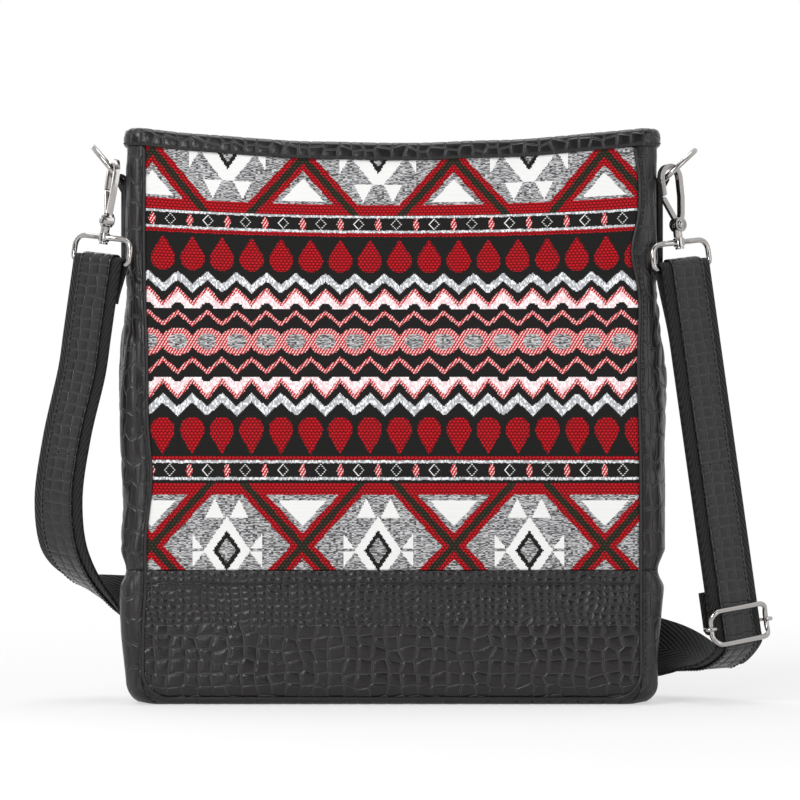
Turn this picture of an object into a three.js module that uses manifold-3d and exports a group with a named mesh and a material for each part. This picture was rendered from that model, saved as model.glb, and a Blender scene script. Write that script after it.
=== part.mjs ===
// A tall crossbody bag: woven front over a leather base, leather gussets and back, and an
// adjustable webbing strap faced with leather, on two swivel hooks.
// Millimetres, +Z up, the front faces -Y, the origin is at the middle of the base.
import * as THREE from "three";
import { mergeVertices } from "three/addons/utils/BufferGeometryUtils.js";
import Module from "manifold-3d";

const wasm = await Module();
wasm.setup();

// The body
const height = 345; // the top of the walls at the corners
const halfWidth = 160; // to the outer face of a gusset
const baseHalfDepth = 36;
const mouthHalfDepth = 22;
const cornerRadius = 10; // in plan, where a gusset turns to the front
const baseRadius = 13; // in elevation, along the foot of the bag
const baseHeight = 81; // the seam above the leather base
const mouthDip = 9; // how far the mouth sags in its middle
const frontBulge = 5;
const panelThickness = 2;
const liningThickness = 1;
const bottomThickness = 2.4;
const gap = 0.3; // between pieces that are sewn or glued together

// The binding round the mouth
const bindingThickness = 1.6;
const bindingDepth = 9;
const bindingCrown = 1.2;

// The magnetic snap inside the mouth
const snapRadius = 8;
const snapThickness = 2.2;
const snapDrop = 30; // below the lowest point of the mouth

// The wire of the rings and loops
const wireRadius = 1.7;
const wireSides = 10;

// The ring tabs on the gussets
const tabHeight = 52; // from the ring's bar to the lower end
const tabWidth = 18;
const tabLeather = 1.8;
const tabBarDrop = 29; // of the ring's bar below the top of the walls
const tabEndRadius = 6;
const tabBarHeight = height - tabBarDrop;

// The D-rings
const ringHalfBar = 9; // half the straight bar
const ringCorner = 8;
const ringReach = 27;

// The swivel hooks, in their own plane: v up the hook, u across it
const hookHole = 5.6; // inner radius of the bow
const hookBand = 3.2; // width of the metal across the hook
const hookThickness = 3.4;
const hookNose = 10.5; // how far the nose comes down from the bow's centre
const hookPivotU = 1.2;
const hookPivotV = -28.5;
const hookBaseV = -33;
const cheekRadius = 4.4;
const cheekThickness = 6.2;
const gateThickness = 2.4;
const gateWidth = 3;
const gateFootRadius = 2.8;
const gateRoom = 0.4; // each side of the gate's tongue
const pinRadius = 1.2;
const pinHeadRadius = 2.6;
const pinHeadHeight = 0.8;
const studRadius = 1.5;
const studHeadRadius = 2.7;
const studHeadHeight = 1.4;

// The strap loops under the hooks
const loopTopV = -39;
const loopHeight = 15; // between the axes of its top and lower bars
const loopCorner = 6.5;
const loopFootCorner = 3.2;
const bossRadius = 3.4;
const bossHeight = 5;

// The strap
const strapWidth = 38;
const webbingThickness = 2;
const facingWidth = 25;
const facingThickness = 1.4;
const foldLength = 24; // of strap doubled below a loop's lower bar
const swingRoom = 1.6; // below the fold, for its lower corner as the loop swings out
const strapLean = THREE.MathUtils.degToRad(8); // outwards, going down
const strapTurn = THREE.MathUtils.degToRad(38); // of its face away from the front
const adjusterDrop = 218; // along the strap from the right loop's lower bar
const closeDrop = 45; // over which the returning layer comes up to the outer one
const ribbonStep = 8;

// The adjuster
const frameWireRadius = 1.6;
const barRadius = 1.5;
const barTaper = 0.8; // the bar is drawn thinner than its room
const frameHeight = 20; // between the axes of its long bars
const frameCorner = 6;
const frameBow = 3; // how far its short sides bow back to the centre bar
const frameRoom = 0.6; // over the facing
const endLength = 22; // of strap sewn back behind the centre bar

// Colours from the photograph
const weave = { color: 0x8a2026, roughness: 0.9, metalness: 0 };
const leather = { color: 0x1c1b1e, roughness: 0.45, metalness: 0 };
const cotton = { color: 0x141414, roughness: 0.85, metalness: 0 };
const cloth = { color: 0x2b2b2e, roughness: 0.9, metalness: 0 };
const nickel = { color: 0xb4b0ae, roughness: 0.2, metalness: 1 };

const bag = new THREE.Group();

const Y = new THREE.Vector3(0, 1, 0);
const Z = new THREE.Vector3(0, 0, 1);

function vec(x, y, z) {
  return new THREE.Vector3(x, y, z);
}

function addPiece(name, geometry, finish) {
  const mesh = new THREE.Mesh(geometry, new THREE.MeshStandardMaterial(finish));
  mesh.name = name;
  bag.add(mesh);
  return mesh;
}

function signedVolume(points, faces) {
  const cross = vec(0, 0, 0);
  let sum = 0;
  for (let i = 0; i < faces.length; i += 3) {
    cross.crossVectors(points[faces[i + 1]], points[faces[i + 2]]);
    sum += points[faces[i]].dot(cross);
  }
  return sum / 6;
}

// A closed body from its points and faces, turned so that its faces point out.
function body(points, faces) {
  const turned = signedVolume(points, faces) < 0 ? faces.slice().reverse() : faces;
  const geometry = new THREE.BufferGeometry().setFromPoints(points);
  geometry.setIndex(turned);
  return geometry;
}

// A skin through rings of points: capped at both ends, or closed on itself.
function loft(rings, closed = false) {
  const n = rings[0].length;
  const points = rings.flat();
  const faces = [];
  const spans = closed ? rings.length : rings.length - 1;
  for (let r = 0; r < spans; r++) {
    const here = r * n;
    const next = ((r + 1) % rings.length) * n;
    for (let i = 0; i < n; i++) {
      const j = (i + 1) % n;
      faces.push(here + i, next + i, next + j, here + i, next + j, here + j);
    }
  }
  if (!closed) {
    capRing(points, faces, rings[0], 0, false);
    capRing(points, faces, rings[rings.length - 1], (rings.length - 1) * n, true);
  }
  return body(points, faces);
}

function capRing(points, faces, ring, start, forward) {
  const middle = ring.reduce((sum, p) => sum.add(p), vec(0, 0, 0)).divideScalar(ring.length);
  points.push(middle);
  const centre = points.length - 1;
  for (let i = 0; i < ring.length; i++) {
    const a = start + i;
    const b = start + ((i + 1) % ring.length);
    faces.push(...(forward ? [centre, b, a] : [centre, a, b]));
  }
}

function circle(radius, sides = wireSides) {
  const points = [];
  for (let i = 0; i < sides; i++) {
    const angle = (2 * Math.PI * (i + 0.5)) / sides;
    points.push([radius * Math.cos(angle), radius * Math.sin(angle)]);
  }
  return points;
}

function rectangle(across, through) {
  const a = across / 2;
  const t = through / 2;
  return [[-a, -t], [a, -t], [a, t], [-a, t]];
}

// Sets a section on a point: its first number runs along one direction, its second along another.
function setSection(section, centre, along, through) {
  return section.map(([a, t]) => centre.clone().addScaledVector(along, a).addScaledVector(through, t));
}

// A wire bent round a flat closed path. Across is the normal of the path's plane.
function closedWire(path, radius, across, sides = wireSides) {
  const section = circle(radius, sides);
  const rings = path.map((p, i) => {
    const before = path[(i + path.length - 1) % path.length];
    const after = path[(i + 1) % path.length];
    const tangent = after.clone().sub(before).normalize();
    return setSection(section, p, across, tangent.cross(across).normalize());
  });
  return loft(rings, true);
}

function toManifold(geometry) {
  const plain = geometry.clone();
  plain.deleteAttribute("normal");
  plain.deleteAttribute("uv");
  const merged = mergeVertices(plain, 1e-4);
  const mesh = new wasm.Mesh({
    numProp: 3,
    vertProperties: new Float32Array(merged.attributes.position.array),
    triVerts: new Uint32Array(merged.index.array),
  });
  return new wasm.Manifold(mesh);
}

function fromManifold(solid) {
  const mesh = solid.getMesh();
  const geometry = new THREE.BufferGeometry();
  geometry.setAttribute("position", new THREE.BufferAttribute(mesh.vertProperties, mesh.numProp));
  geometry.setIndex(new THREE.BufferAttribute(mesh.triVerts, 1));
  return geometry;
}

// Three axes that carry a local shape (u, v, w) to its place in the bag.
function frameOf(origin, u, v, w) {
  return new THREE.Matrix4().makeBasis(u, v, w).setPosition(origin);
}

function place(frame, u, v, w = 0) {
  return vec(u, v, w).applyMatrix4(frame);
}

// The bag's outline in plan

const flatHalf = halfWidth - cornerRadius; // the front panel's half width
const frontSteps = 14;
const cornerSteps = 4;
const sideSteps = 2;
const sideSpan = 2 * cornerSteps + sideSteps;
const outlineCount = 2 * (frontSteps + sideSpan);

function halfDepthAt(z) {
  return THREE.MathUtils.lerp(baseHalfDepth, mouthHalfDepth, z / height);
}

function footInset(z) {
  const up = Math.min(Math.max(z, 0), baseRadius);
  return baseRadius - Math.sqrt(baseRadius ** 2 - (baseRadius - up) ** 2);
}

function bulgeAt(x, z) {
  const across = 1 - (x / flatHalf) ** 2;
  const up = Math.sin((Math.PI * Math.min(Math.max(z / height, 0), 1)) ** 0.9);
  return frontBulge * Math.max(across, 0) * Math.max(up, 0);
}

// Point i of the outline: 0 is the front's left end, and it runs to the right end, round the
// right gusset, along the back and round the left gusset. Inset is measured into the bag.
function outlinePoint(i, z, inset) {
  const half = outlineCount / 2;
  const turned = i % outlineCount >= half;
  const k = i % half;
  const foot = footInset(z);
  const depth = halfDepthAt(z) - foot - inset;
  const width = halfWidth - foot - inset;
  const radius = Math.max(cornerRadius - inset, 1);
  const flat = width - radius;
  let x;
  let y;
  if (k <= frontSteps) {
    x = flat * ((2 * k) / frontSteps - 1);
    y = -depth - bulgeAt((x * flatHalf) / flat, z);
  } else if (k <= frontSteps + cornerSteps) {
    const angle = (Math.PI / 2) * ((k - frontSteps) / cornerSteps - 1);
    x = flat + radius * Math.cos(angle);
    y = -depth + radius + radius * Math.sin(angle);
  } else if (k < frontSteps + cornerSteps + sideSteps) {
    x = width;
    y = (depth - radius) * ((2 * (k - frontSteps - cornerSteps)) / sideSteps - 1);
  } else {
    const angle = (Math.PI / 2) * ((k - frontSteps - cornerSteps - sideSteps) / cornerSteps);
    x = flat + radius * Math.cos(angle);
    y = depth - radius + radius * Math.sin(angle);
  }
  return turned ? vec(-x, -y, z) : vec(x, y, z);
}

function mouthAt(i) {
  const x = outlinePoint(i, height, 0).x;
  return height - mouthDip * Math.max(1 - (x / flatHalf) ** 2, 0);
}

// A stretch of wall between two outline points and two heights, with its thickness.
function wallPatch(first, last, heights, inset, thickness) {
  const levels = [];
  for (const height of heights) {
    const outer = [];
    const inner = [];
    for (let i = first; i <= last; i++) {
      const z = height(i);
      outer.push(outlinePoint(i, z, inset));
      inner.push(outlinePoint(i, z, inset + thickness));
    }
    pullEnds(outer);
    pullEnds(inner);
    levels.push([...outer, ...inner.reverse()]);
  }
  return loftStrip(levels);
}

// Draws a row's two ends in by half the gap, where the next panel is sewn to it.
function pullEnds(row) {
  const last = row.length - 1;
  const start = row[1].clone().sub(row[0]).setLength(gap / 2);
  const end = row[last - 1].clone().sub(row[last]).setLength(gap / 2);
  row[0].add(start);
  row[last].add(end);
}

// As loft, for long thin rings: the caps are strips of quads between the two sides.
function loftStrip(rings) {
  const n = rings[0].length;
  const points = rings.flat();
  const faces = [];
  for (let r = 0; r < rings.length - 1; r++) {
    const here = r * n;
    const next = here + n;
    for (let i = 0; i < n; i++) {
      const j = (i + 1) % n;
      faces.push(here + i, next + i, next + j, here + i, next + j, here + j);
    }
  }
  const top = (rings.length - 1) * n;
  for (let i = 0; i < n / 2 - 1; i++) {
    const a = i;
    const b = i + 1;
    const c = n - 2 - i;
    const d = n - 1 - i;
    faces.push(a, b, c, a, c, d);
    faces.push(top + a, top + c, top + b, top + a, top + d, top + c);
  }
  return body(points, faces);
}

// The heights at which the walls and the lining have their rows of points.
const footArc = [10, 25, 40, 55, 70, 90].map((angle) => {
  return baseRadius * (1 - Math.cos(THREE.MathUtils.degToRad(angle)));
});
const footHeights = [...footArc, (baseRadius + baseHeight) / 2].map((z) => () => z);
const upperRows = 8;
const upperHeights = [];
for (let r = 1; r <= upperRows; r++) {
  upperHeights.push((i) => THREE.MathUtils.lerp(baseHeight, mouthAt(i), r / upperRows));
}
const rightStart = frontSteps;
const backStart = frontSteps + sideSpan;
const leftStart = 2 * frontSteps + sideSpan;

function addPanels() {
  const panels = [
    ["front_textile_panel", "front_base_panel", 0, frontSteps, weave],
    ["right_gusset", "right_base_gusset", rightStart, backStart, leather],
    ["back_panel", "back_base_panel", backStart, leftStart, leather],
    ["left_gusset", "left_base_gusset", leftStart, outlineCount, leather],
  ];
  for (const [upper, lower, first, last, finish] of panels) {
    const seamHigh = () => baseHeight + gap / 2;
    const seamLow = () => baseHeight - gap / 2;
    const above = wallPatch(first, last, [seamHigh, ...upperHeights], 0, panelThickness);
    const below = wallPatch(first, last, [() => 0, ...footHeights, seamLow], 0, panelThickness);
    addPiece(upper, above, finish);
    addPiece(lower, below, leather);
  }
}

function outlineRing(z, inset) {
  const ring = [];
  for (let i = 0; i < outlineCount; i++) {
    ring.push(outlinePoint(i, typeof z === "function" ? z(i) : z, inset));
  }
  return ring;
}

const liningInset = panelThickness + gap;
const liningFloor = bottomThickness + gap;

function addBottomAndLining() {
  const bottomRing = outlineRing(0, panelThickness + gap);
  const bottomTop = bottomRing.map((p) => vec(p.x, p.y, bottomThickness));
  addPiece("bottom_panel", loft([bottomRing, bottomTop]), leather);
  const skin = (low, inset) => {
    const foot = footHeights.filter((z) => z() > low + gap);
    const heights = [() => low, ...foot, () => baseHeight, ...upperHeights];
    return heights.map((z) => outlineRing(z, inset));
  };
  const outer = skin(liningFloor, liningInset);
  const inner = skin(liningFloor + liningThickness, liningInset + liningThickness);
  addPiece("lining", loft([...outer, ...inner.reverse()]), cloth);
}

// The binding is folded over the edges of the walls and the lining.
function addBinding() {
  const wall = liningInset + liningThickness;
  const out = -gap - bindingThickness;
  const inside = wall + gap + bindingThickness;
  const top = gap + bindingThickness;
  const profile = [
    [out, -bindingDepth],
    [out, top - bindingCrown],
    [out + bindingCrown, top],
    [inside - bindingCrown, top],
    [inside, top - bindingCrown],
    [inside, -bindingDepth],
    [wall + gap, -bindingDepth],
    [wall + gap, gap],
    [-gap, gap],
    [-gap, -bindingDepth],
  ];
  const rings = [];
  for (let i = 0; i < outlineCount; i++) {
    rings.push(profile.map(([inset, rise]) => outlinePoint(i, mouthAt(i) + rise, inset)));
  }
  addPiece("rim_binding", loft(rings, true), leather);
}

function addSnap() {
  const z = height - mouthDip - snapDrop;
  const inside = liningInset + liningThickness + gap;
  for (const [name, side] of [["snap_front", -1], ["snap_back", 1]]) {
    const mid = side < 0 ? frontSteps / 2 : backStart + frontSteps / 2;
    const wallY = outlinePoint(mid, z, inside).y;
    const disc = new THREE.CylinderGeometry(snapRadius, snapRadius, snapThickness, 20);
    const mesh = addPiece(name, disc, nickel);
    mesh.position.set(0, wallY - side * (snapThickness / 2 + gap), z);
  }
}

// A hanger: the tab, ring, hook and loop on one side. Side is 1 on the right, -1 on the left.

const ringBarX = halfWidth + gap + tabLeather + gap + wireRadius;

// Right and left hang alike, but the left hook has turned on its swivel.
const hangers = {
  right: { side: 1, ringTilt: 43, ringArc: 48, hookTurn: 38, drop: 1.0, out: 1.7 },
  left: { side: -1, ringTilt: 50, ringArc: 74, hookTurn: 70, drop: 0.7, out: 0.4 },
};

function ringPath(tilt, side) {
  const along = vec(side * Math.cos(tilt), 0, Math.sin(tilt));
  const centre = vec(side * ringBarX, 0, tabBarHeight);
  const points = [];
  const add = (y, reach) => points.push(centre.clone().addScaledVector(Y, y).addScaledVector(along, reach));
  const arcSteps = 6;
  for (let i = 0; i <= arcSteps; i++) {
    const a = (Math.PI / 2) * (i / arcSteps);
    add(-ringHalfBar - ringCorner * Math.sin(a), ringCorner * (1 - Math.cos(a)));
  }
  const bowHalf = ringHalfBar + ringCorner;
  const bowReach = ringReach - ringCorner;
  const bowSteps = 14;
  for (let i = 1; i < bowSteps; i++) {
    const a = Math.PI * (i / bowSteps);
    add(-bowHalf * Math.cos(a), ringCorner + bowReach * Math.sin(a));
  }
  for (let i = arcSteps; i >= 0; i--) {
    const a = (Math.PI / 2) * (i / arcSteps);
    add(ringHalfBar + ringCorner * Math.sin(a), ringCorner * (1 - Math.cos(a)));
  }
  return { points, normal: along.clone().cross(Y).normalize() };
}

function addTab(name, side) {
  const loopRadius = wireRadius + gap + tabLeather;
  const flatDepth = 2 * tabLeather;
  const profile = new THREE.Shape();
  const inner = -loopRadius;
  profile.moveTo(inner, 0);
  profile.lineTo(inner, -tabHeight);
  profile.lineTo(inner + flatDepth, -tabHeight);
  profile.lineTo(inner + flatDepth, -2 * loopRadius);
  profile.lineTo(loopRadius, 0);
  profile.absarc(0, 0, loopRadius, 0, Math.PI, false);
  const eye = new THREE.Path();
  eye.absarc(0, 0, wireRadius + gap, 0, 2 * Math.PI, true);
  profile.holes.push(eye);
  const strip = new THREE.ExtrudeGeometry(profile, {
    depth: tabWidth,
    bevelEnabled: false,
    curveSegments: 8,
  });
  strip.translate(0, 0, -tabWidth / 2);
  strip.rotateX(Math.PI / 2);
  const face = new THREE.Shape();
  const w = tabWidth / 2;
  const over = loopRadius + 1;
  face.moveTo(-w, over);
  face.lineTo(-w, -tabHeight + tabEndRadius);
  face.absarc(-w + tabEndRadius, -tabHeight + tabEndRadius, tabEndRadius, Math.PI, 1.5 * Math.PI, false);
  face.absarc(w - tabEndRadius, -tabHeight + tabEndRadius, tabEndRadius, 1.5 * Math.PI, 2 * Math.PI, false);
  face.lineTo(w, over);
  const plate = new THREE.ExtrudeGeometry(face, {
    depth: 4 * loopRadius,
    bevelEnabled: false,
    curveSegments: 6,
  });
  plate.translate(0, 0, -2 * loopRadius);
  plate.rotateX(Math.PI / 2);
  plate.rotateZ(Math.PI / 2);
  const geometry = fromManifold(toManifold(strip).intersect(toManifold(plate)));
  if (side < 0) {
    geometry.rotateZ(Math.PI);
  }
  const mesh = addPiece(name, geometry, leather);
  mesh.position.set(side * ringBarX, 0, tabBarHeight);
}

// The hook's axes: v leans in towards the bag going up, and the face is turned by an angle.
function hangerFrame(origin, side, turn) {
  const v = vec(-side * Math.sin(strapLean), 0, Math.cos(strapLean));
  const level = vec(side * Math.cos(strapLean), 0, Math.sin(strapLean));
  const w = level.clone().multiplyScalar(Math.sin(turn)).addScaledVector(Y, -Math.cos(turn));
  const u = v.clone().cross(w);
  return frameOf(origin, u, v, w);
}

function offsetBand(centres, width) {
  const left = [];
  const right = [];
  centres.forEach(([u, v], i) => {
    const before = centres[Math.max(i - 1, 0)];
    const after = centres[Math.min(i + 1, centres.length - 1)];
    const along = new THREE.Vector2(after[0] - before[0], after[1] - before[1]).normalize();
    const half = width / 2;
    left.push(new THREE.Vector2(u - along.y * half, v + along.x * half));
    right.push(new THREE.Vector2(u + along.y * half, v - along.x * half));
  });
  return new THREE.Shape([...left, ...right.reverse()]);
}

function slab(shape, thickness, bevel = 0) {
  const geometry = new THREE.ExtrudeGeometry(shape, {
    depth: thickness - 2 * bevel,
    bevelEnabled: bevel > 0,
    bevelThickness: bevel,
    bevelSize: bevel,
    bevelOffset: -bevel,
    bevelSegments: 1,
    curveSegments: 6,
  });
  geometry.translate(0, 0, -thickness / 2 + bevel);
  return geometry;
}

// A round bar in the hook's plane or across it, from its middle.
function rod(radius, length, u, v, w, upright, sides = 14) {
  const geometry = new THREE.CylinderGeometry(radius, radius, length, sides);
  if (!upright) {
    geometry.rotateX(Math.PI / 2);
  }
  geometry.translate(u, v, w);
  return geometry;
}

const bowRadius = hookHole + hookBand / 2; // to the middle of the band

function hookBodyGeometry() {
  const centres = [[-bowRadius, -hookNose]];
  const bowSteps = 12;
  for (let i = 0; i <= bowSteps; i++) {
    const a = Math.PI * (1 - i / bowSteps);
    centres.push([bowRadius * Math.cos(a), bowRadius * Math.sin(a)]);
  }
  centres.push([bowRadius - 0.6, -12]);
  centres.push([bowRadius - 2.4, -22]);
  centres.push([hookPivotU + 1.4, hookPivotV]);
  centres.push([0.6, hookBaseV]);
  const band = toManifold(slab(offsetBand(centres, hookBand), hookThickness));
  const cheeks = toManifold(rod(cheekRadius, cheekThickness, hookPivotU, hookPivotV, 0, false, 20));
  const neckTop = hookPivotV;
  const bossTop = loopTopV + bossHeight / 2 + gap;
  const neck = toManifold(rod(studHeadRadius, neckTop - bossTop, 0, (neckTop + bossTop) / 2, 0, true));
  const studEnd = loopTopV - bossHeight / 2 - gap - studHeadHeight;
  const stud = toManifold(rod(studRadius, neckTop - studEnd, 0, (neckTop + studEnd) / 2, 0, true));
  const head = toManifold(rod(studHeadRadius, studHeadHeight, 0, studEnd + studHeadHeight / 2, 0, true));
  const slotShape = new THREE.Shape();
  const reach = 2 * cheekRadius;
  const room = gateFootRadius + gateRoom;
  slotShape.moveTo(hookPivotU + room, hookPivotV - room);
  slotShape.lineTo(hookPivotU + room, hookPivotV + room);
  slotShape.lineTo(hookPivotU, hookPivotV + reach);
  slotShape.lineTo(-reach, hookPivotV + reach);
  slotShape.lineTo(-reach, hookPivotV - room);
  const slot = toManifold(slab(slotShape, gateThickness + 2 * gateRoom));
  const sweep = toManifold(slab(tipSweepShape(), 2 * hookThickness));
  const spine = band.subtract(toManifold(slab(gateRoomShape(), gateThickness + 2 * gateRoom))).subtract(sweep);
  const bore = toManifold(rod(pinRadius + gap, 2 * cheekThickness, hookPivotU, hookPivotV, 0, false));
  const root = cheeks.add(neck).add(stud).add(head);
  return fromManifold(spine.add(root).subtract(slot).subtract(bore));
}

const tipU = -bowRadius;
const tipV = -hookNose - gateRoom - gateWidth / 2;

// The room that the gate's tip needs as it turns in past the nose.
function tipSweepShape() {
  const shape = new THREE.Shape();
  const reach = Math.hypot(tipU - hookPivotU, tipV - hookPivotV) + gateWidth / 2 + gateRoom;
  const angle = Math.atan2(tipV - hookPivotV, tipU - hookPivotU);
  const spread = 0.3;
  shape.absarc(hookPivotU, hookPivotV, reach, angle - spread, angle + spread, false);
  shape.absarc(hookPivotU, hookPivotV, reach / 2, angle + spread, angle - spread, true);
  return shape;
}

// The gate's outline: a tongue round the pin, up to a tip under the nose.
function gateShape() {
  const half = gateWidth / 2;
  const angle = Math.atan2(tipV - hookPivotV, tipU - hookPivotU);
  const shape = new THREE.Shape();
  shape.absarc(hookPivotU, hookPivotV, half, angle + Math.PI / 2, angle + 1.5 * Math.PI, false);
  shape.absarc(tipU, tipV, half, angle - Math.PI / 2, angle + Math.PI / 2, false);
  return shape;
}

// The room that the gate needs where the spine runs down beside its foot.
function gateRoomShape() {
  const shape = new THREE.Shape();
  shape.absarc(hookPivotU, hookPivotV, gateFootRadius + gateRoom, 0, 2 * Math.PI, false);
  return shape;
}

function gateGeometry() {
  const foot = toManifold(rod(gateFootRadius, gateThickness, hookPivotU, hookPivotV, 0, false, 18));
  const tongue = toManifold(slab(gateShape(), gateThickness)).add(foot);
  const bore = toManifold(rod(pinRadius + gap, 2 * gateThickness, hookPivotU, hookPivotV, 0, false));
  return fromManifold(tongue.subtract(bore));
}

function pinGeometry() {
  const length = cheekThickness + 2 * gap;
  const shank = toManifold(rod(pinRadius, length, hookPivotU, hookPivotV, 0, false));
  const lift = length / 2 + pinHeadHeight / 2;
  const near = toManifold(rod(pinHeadRadius, pinHeadHeight, hookPivotU, hookPivotV, lift, false, 18));
  const far = toManifold(rod(pinHeadRadius, pinHeadHeight, hookPivotU, hookPivotV, -lift, false, 18));
  return fromManifold(shank.add(near).add(far));
}

const loopHalfWidth = strapWidth / 2 + gap + loopFootCorner;
const loopLowV = loopTopV - loopHeight;

function roundedPath(halfAcross, low, high, corner, footCorner) {
  const path = [];
  const corners = [
    [halfAcross - corner, high - corner, 0, corner],
    [-halfAcross + corner, high - corner, 1, corner],
    [-halfAcross + footCorner, low + footCorner, 2, footCorner],
    [halfAcross - footCorner, low + footCorner, 3, footCorner],
  ];
  const steps = 5;
  for (const [u, v, turn, radius] of corners) {
    for (let i = 0; i <= steps; i++) {
      const a = (Math.PI / 2) * (turn + i / steps);
      path.push([u + radius * Math.cos(a), v + radius * Math.sin(a)]);
    }
  }
  return path;
}

function loopGeometry() {
  const flat = roundedPath(loopHalfWidth, loopLowV, loopTopV, loopCorner, loopFootCorner);
  const wire = closedWire(flat.map(([u, v]) => vec(u, v, 0)), wireRadius, Z);
  const boss = toManifold(rod(bossRadius, bossHeight, 0, loopTopV, 0, true, 16));
  const bore = toManifold(rod(studRadius + gap, 2 * bossHeight, 0, loopTopV, 0, true));
  return fromManifold(toManifold(wire).add(boss).subtract(bore));
}

const layerOffset = wireRadius + gap + webbingThickness / 2;
const facingOffset = webbingThickness / 2 + gap + facingThickness / 2;

// The strap folded over the loop's lower bar, as a band of one thickness round a U.
function foldGeometry(frame, width, offset, thickness, back) {
  const rings = [];
  const section = (v, w, nv, nw) => {
    const centre = place(frame, 0, v, w);
    const across = vec(1, 0, 0).transformDirection(frame);
    const through = vec(0, nv, nw).transformDirection(frame);
    rings.push(setSection(rectangle(width, thickness), centre, across, through));
  };
  section(loopLowV - foldLength, offset, 0, 1);
  section(loopLowV - foldLength / 2, offset, 0, 1);
  const steps = 8;
  for (let i = 0; i <= steps; i++) {
    const a = Math.PI * (i / steps);
    section(loopLowV + offset * Math.sin(a), offset * Math.cos(a), Math.sin(a), Math.cos(a));
  }
  if (back > 0) {
    section(loopLowV - back / 2, -offset, 0, -1);
    section(loopLowV - back, -offset, 0, -1);
  }
  return loft(rings);
}

function addHanger(name) {
  const { side, ringTilt, ringArc, hookTurn, drop, out } = hangers[name];
  const tilt = THREE.MathUtils.degToRad(ringTilt);
  const arc = THREE.MathUtils.degToRad(ringArc);
  addTab(`${name}_tab`, side);
  const ring = ringPath(tilt, side);
  addPiece(`${name}_d_ring`, closedWire(ring.points, wireRadius, ring.normal), nickel);
  const reach = ringCorner * (1 - Math.cos(arc));
  const bow = vec(
    side * (ringBarX + reach * Math.cos(tilt) + out),
    -ringHalfBar - ringCorner * Math.sin(arc),
    tabBarHeight + reach * Math.sin(tilt) - drop,
  );
  const hook = hangerFrame(bow, side, THREE.MathUtils.degToRad(hookTurn));
  const pieces = [
    ["hook", hookBodyGeometry()],
    ["gate", gateGeometry()],
    ["gate_pin", pinGeometry()],
  ];
  for (const [piece, geometry] of pieces) {
    addPiece(`${name}_${piece}`, geometry, nickel).applyMatrix4(hook);
  }
  const strap = hangerFrame(bow, side, strapTurn);
  addPiece(`${name}_loop`, loopGeometry(), nickel).applyMatrix4(strap);
  const webbing = foldGeometry(strap, strapWidth, layerOffset, webbingThickness, foldLength);
  addPiece(`${name}_strap_fold`, webbing, cotton);
  const facing = foldGeometry(strap, facingWidth, layerOffset + facingOffset, facingThickness, 0);
  addPiece(`${name}_fold_facing`, facing, leather);
  return strap;
}

// A ribbon's section, with a column of points under each edge of the facing so that the two
// layers twist alike. The first face runs from left to right, the second back again.
function ribbonSection(columns, first, second) {
  const there = columns.map((a) => [a, first]);
  const back = columns.slice().reverse().map((a) => [a, second]);
  return [...there, ...back];
}

// A ribbon through stations. Each has a centre and the direction of its width.
function ribbon(stations, section) {
  const centres = new THREE.CatmullRomCurve3(stations.map(([p]) => p), false, "centripetal");
  const widths = new THREE.CatmullRomCurve3(stations.map(([, w]) => w), false, "centripetal");
  const count = Math.round(centres.getLength() / ribbonStep);
  const rings = [];
  for (let i = 0; i <= count; i++) {
    const t = centres.getUtoTmapping(i / count);
    const tangent = centres.getTangent(t);
    const across = widths.getPoint(t);
    across.addScaledVector(tangent, -across.dot(tangent)).normalize();
    const outward = tangent.clone().cross(across).normalize();
    rings.push(setSection(section, centres.getPoint(t), across, outward));
  }
  return loft(rings);
}

// The strap's stations behind the bag, from the left to the right: a centre and a width direction.
const backRoute = [
  [[-196, -20, 160], [0.79, -0.62, 0]],
  [[-201, -19, 122], [0.79, -0.62, 0]],
  [[-198, -9, 92], [0.79, -0.62, -0.05]],
  [[-185, 16, 70], [0.72, -0.6, -0.3]],
  [[-167, 42, 60], [0.45, -0.4, -0.8]],
  [[-138, 53, 53], [0.1, -0.1, -1]],
  [[-80, 50, 47], [0, 0, -1]],
  [[0, 47, 43], [0, 0, -1]],
  [[80, 50, 39], [0, 0, -1]],
  [[136, 55, 35], [-0.1, -0.1, -1]],
  [[168, 44, 29], [-0.4, -0.35, -0.85]],
  [[186, 20, 24], [-0.72, -0.57, -0.35]],
  [[198, -1, 23], [-0.79, -0.62, 0]],
];

function runStations(strap, from, to, offset, step, sign) {
  const stations = [];
  const across = vec(sign, 0, 0).transformDirection(strap);
  const count = Math.max(Math.round(Math.abs(to - from) / step), 1);
  for (let i = 0; i <= count; i++) {
    const along = THREE.MathUtils.lerp(from, to, i / count);
    stations.push([place(strap, 0, loopLowV - along, offset), across]);
  }
  return stations;
}

function addStrap(leftStrap, rightStrap) {
  const start = foldLength + swingRoom;
  const leftRun = runStations(leftStrap, start, start + 40, layerOffset, 20, 1);
  const rightRun = runStations(rightStrap, adjusterDrop + frameHeight / 2 + 2, start, layerOffset, 5, -1);
  const middle = backRoute.map(([p, w]) => [vec(...p), vec(...w)]);
  const stations = [...leftRun, ...middle, ...rightRun];
  const outside = webbingThickness / 2;
  const inner = [-facingWidth / 2, 0, facingWidth / 2];
  const columns = [-strapWidth / 2, ...inner, strapWidth / 2];
  addPiece("strap_webbing", ribbon(stations, ribbonSection(columns, outside, -outside)), cotton);
  const under = outside + gap;
  addPiece("strap_facing", ribbon(stations, ribbonSection(inner, under, under + facingThickness)), leather);
}

const returnOffset = layerOffset - webbingThickness - gap;
const barOffset = returnOffset - webbingThickness / 2 - gap - barRadius;

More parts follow.
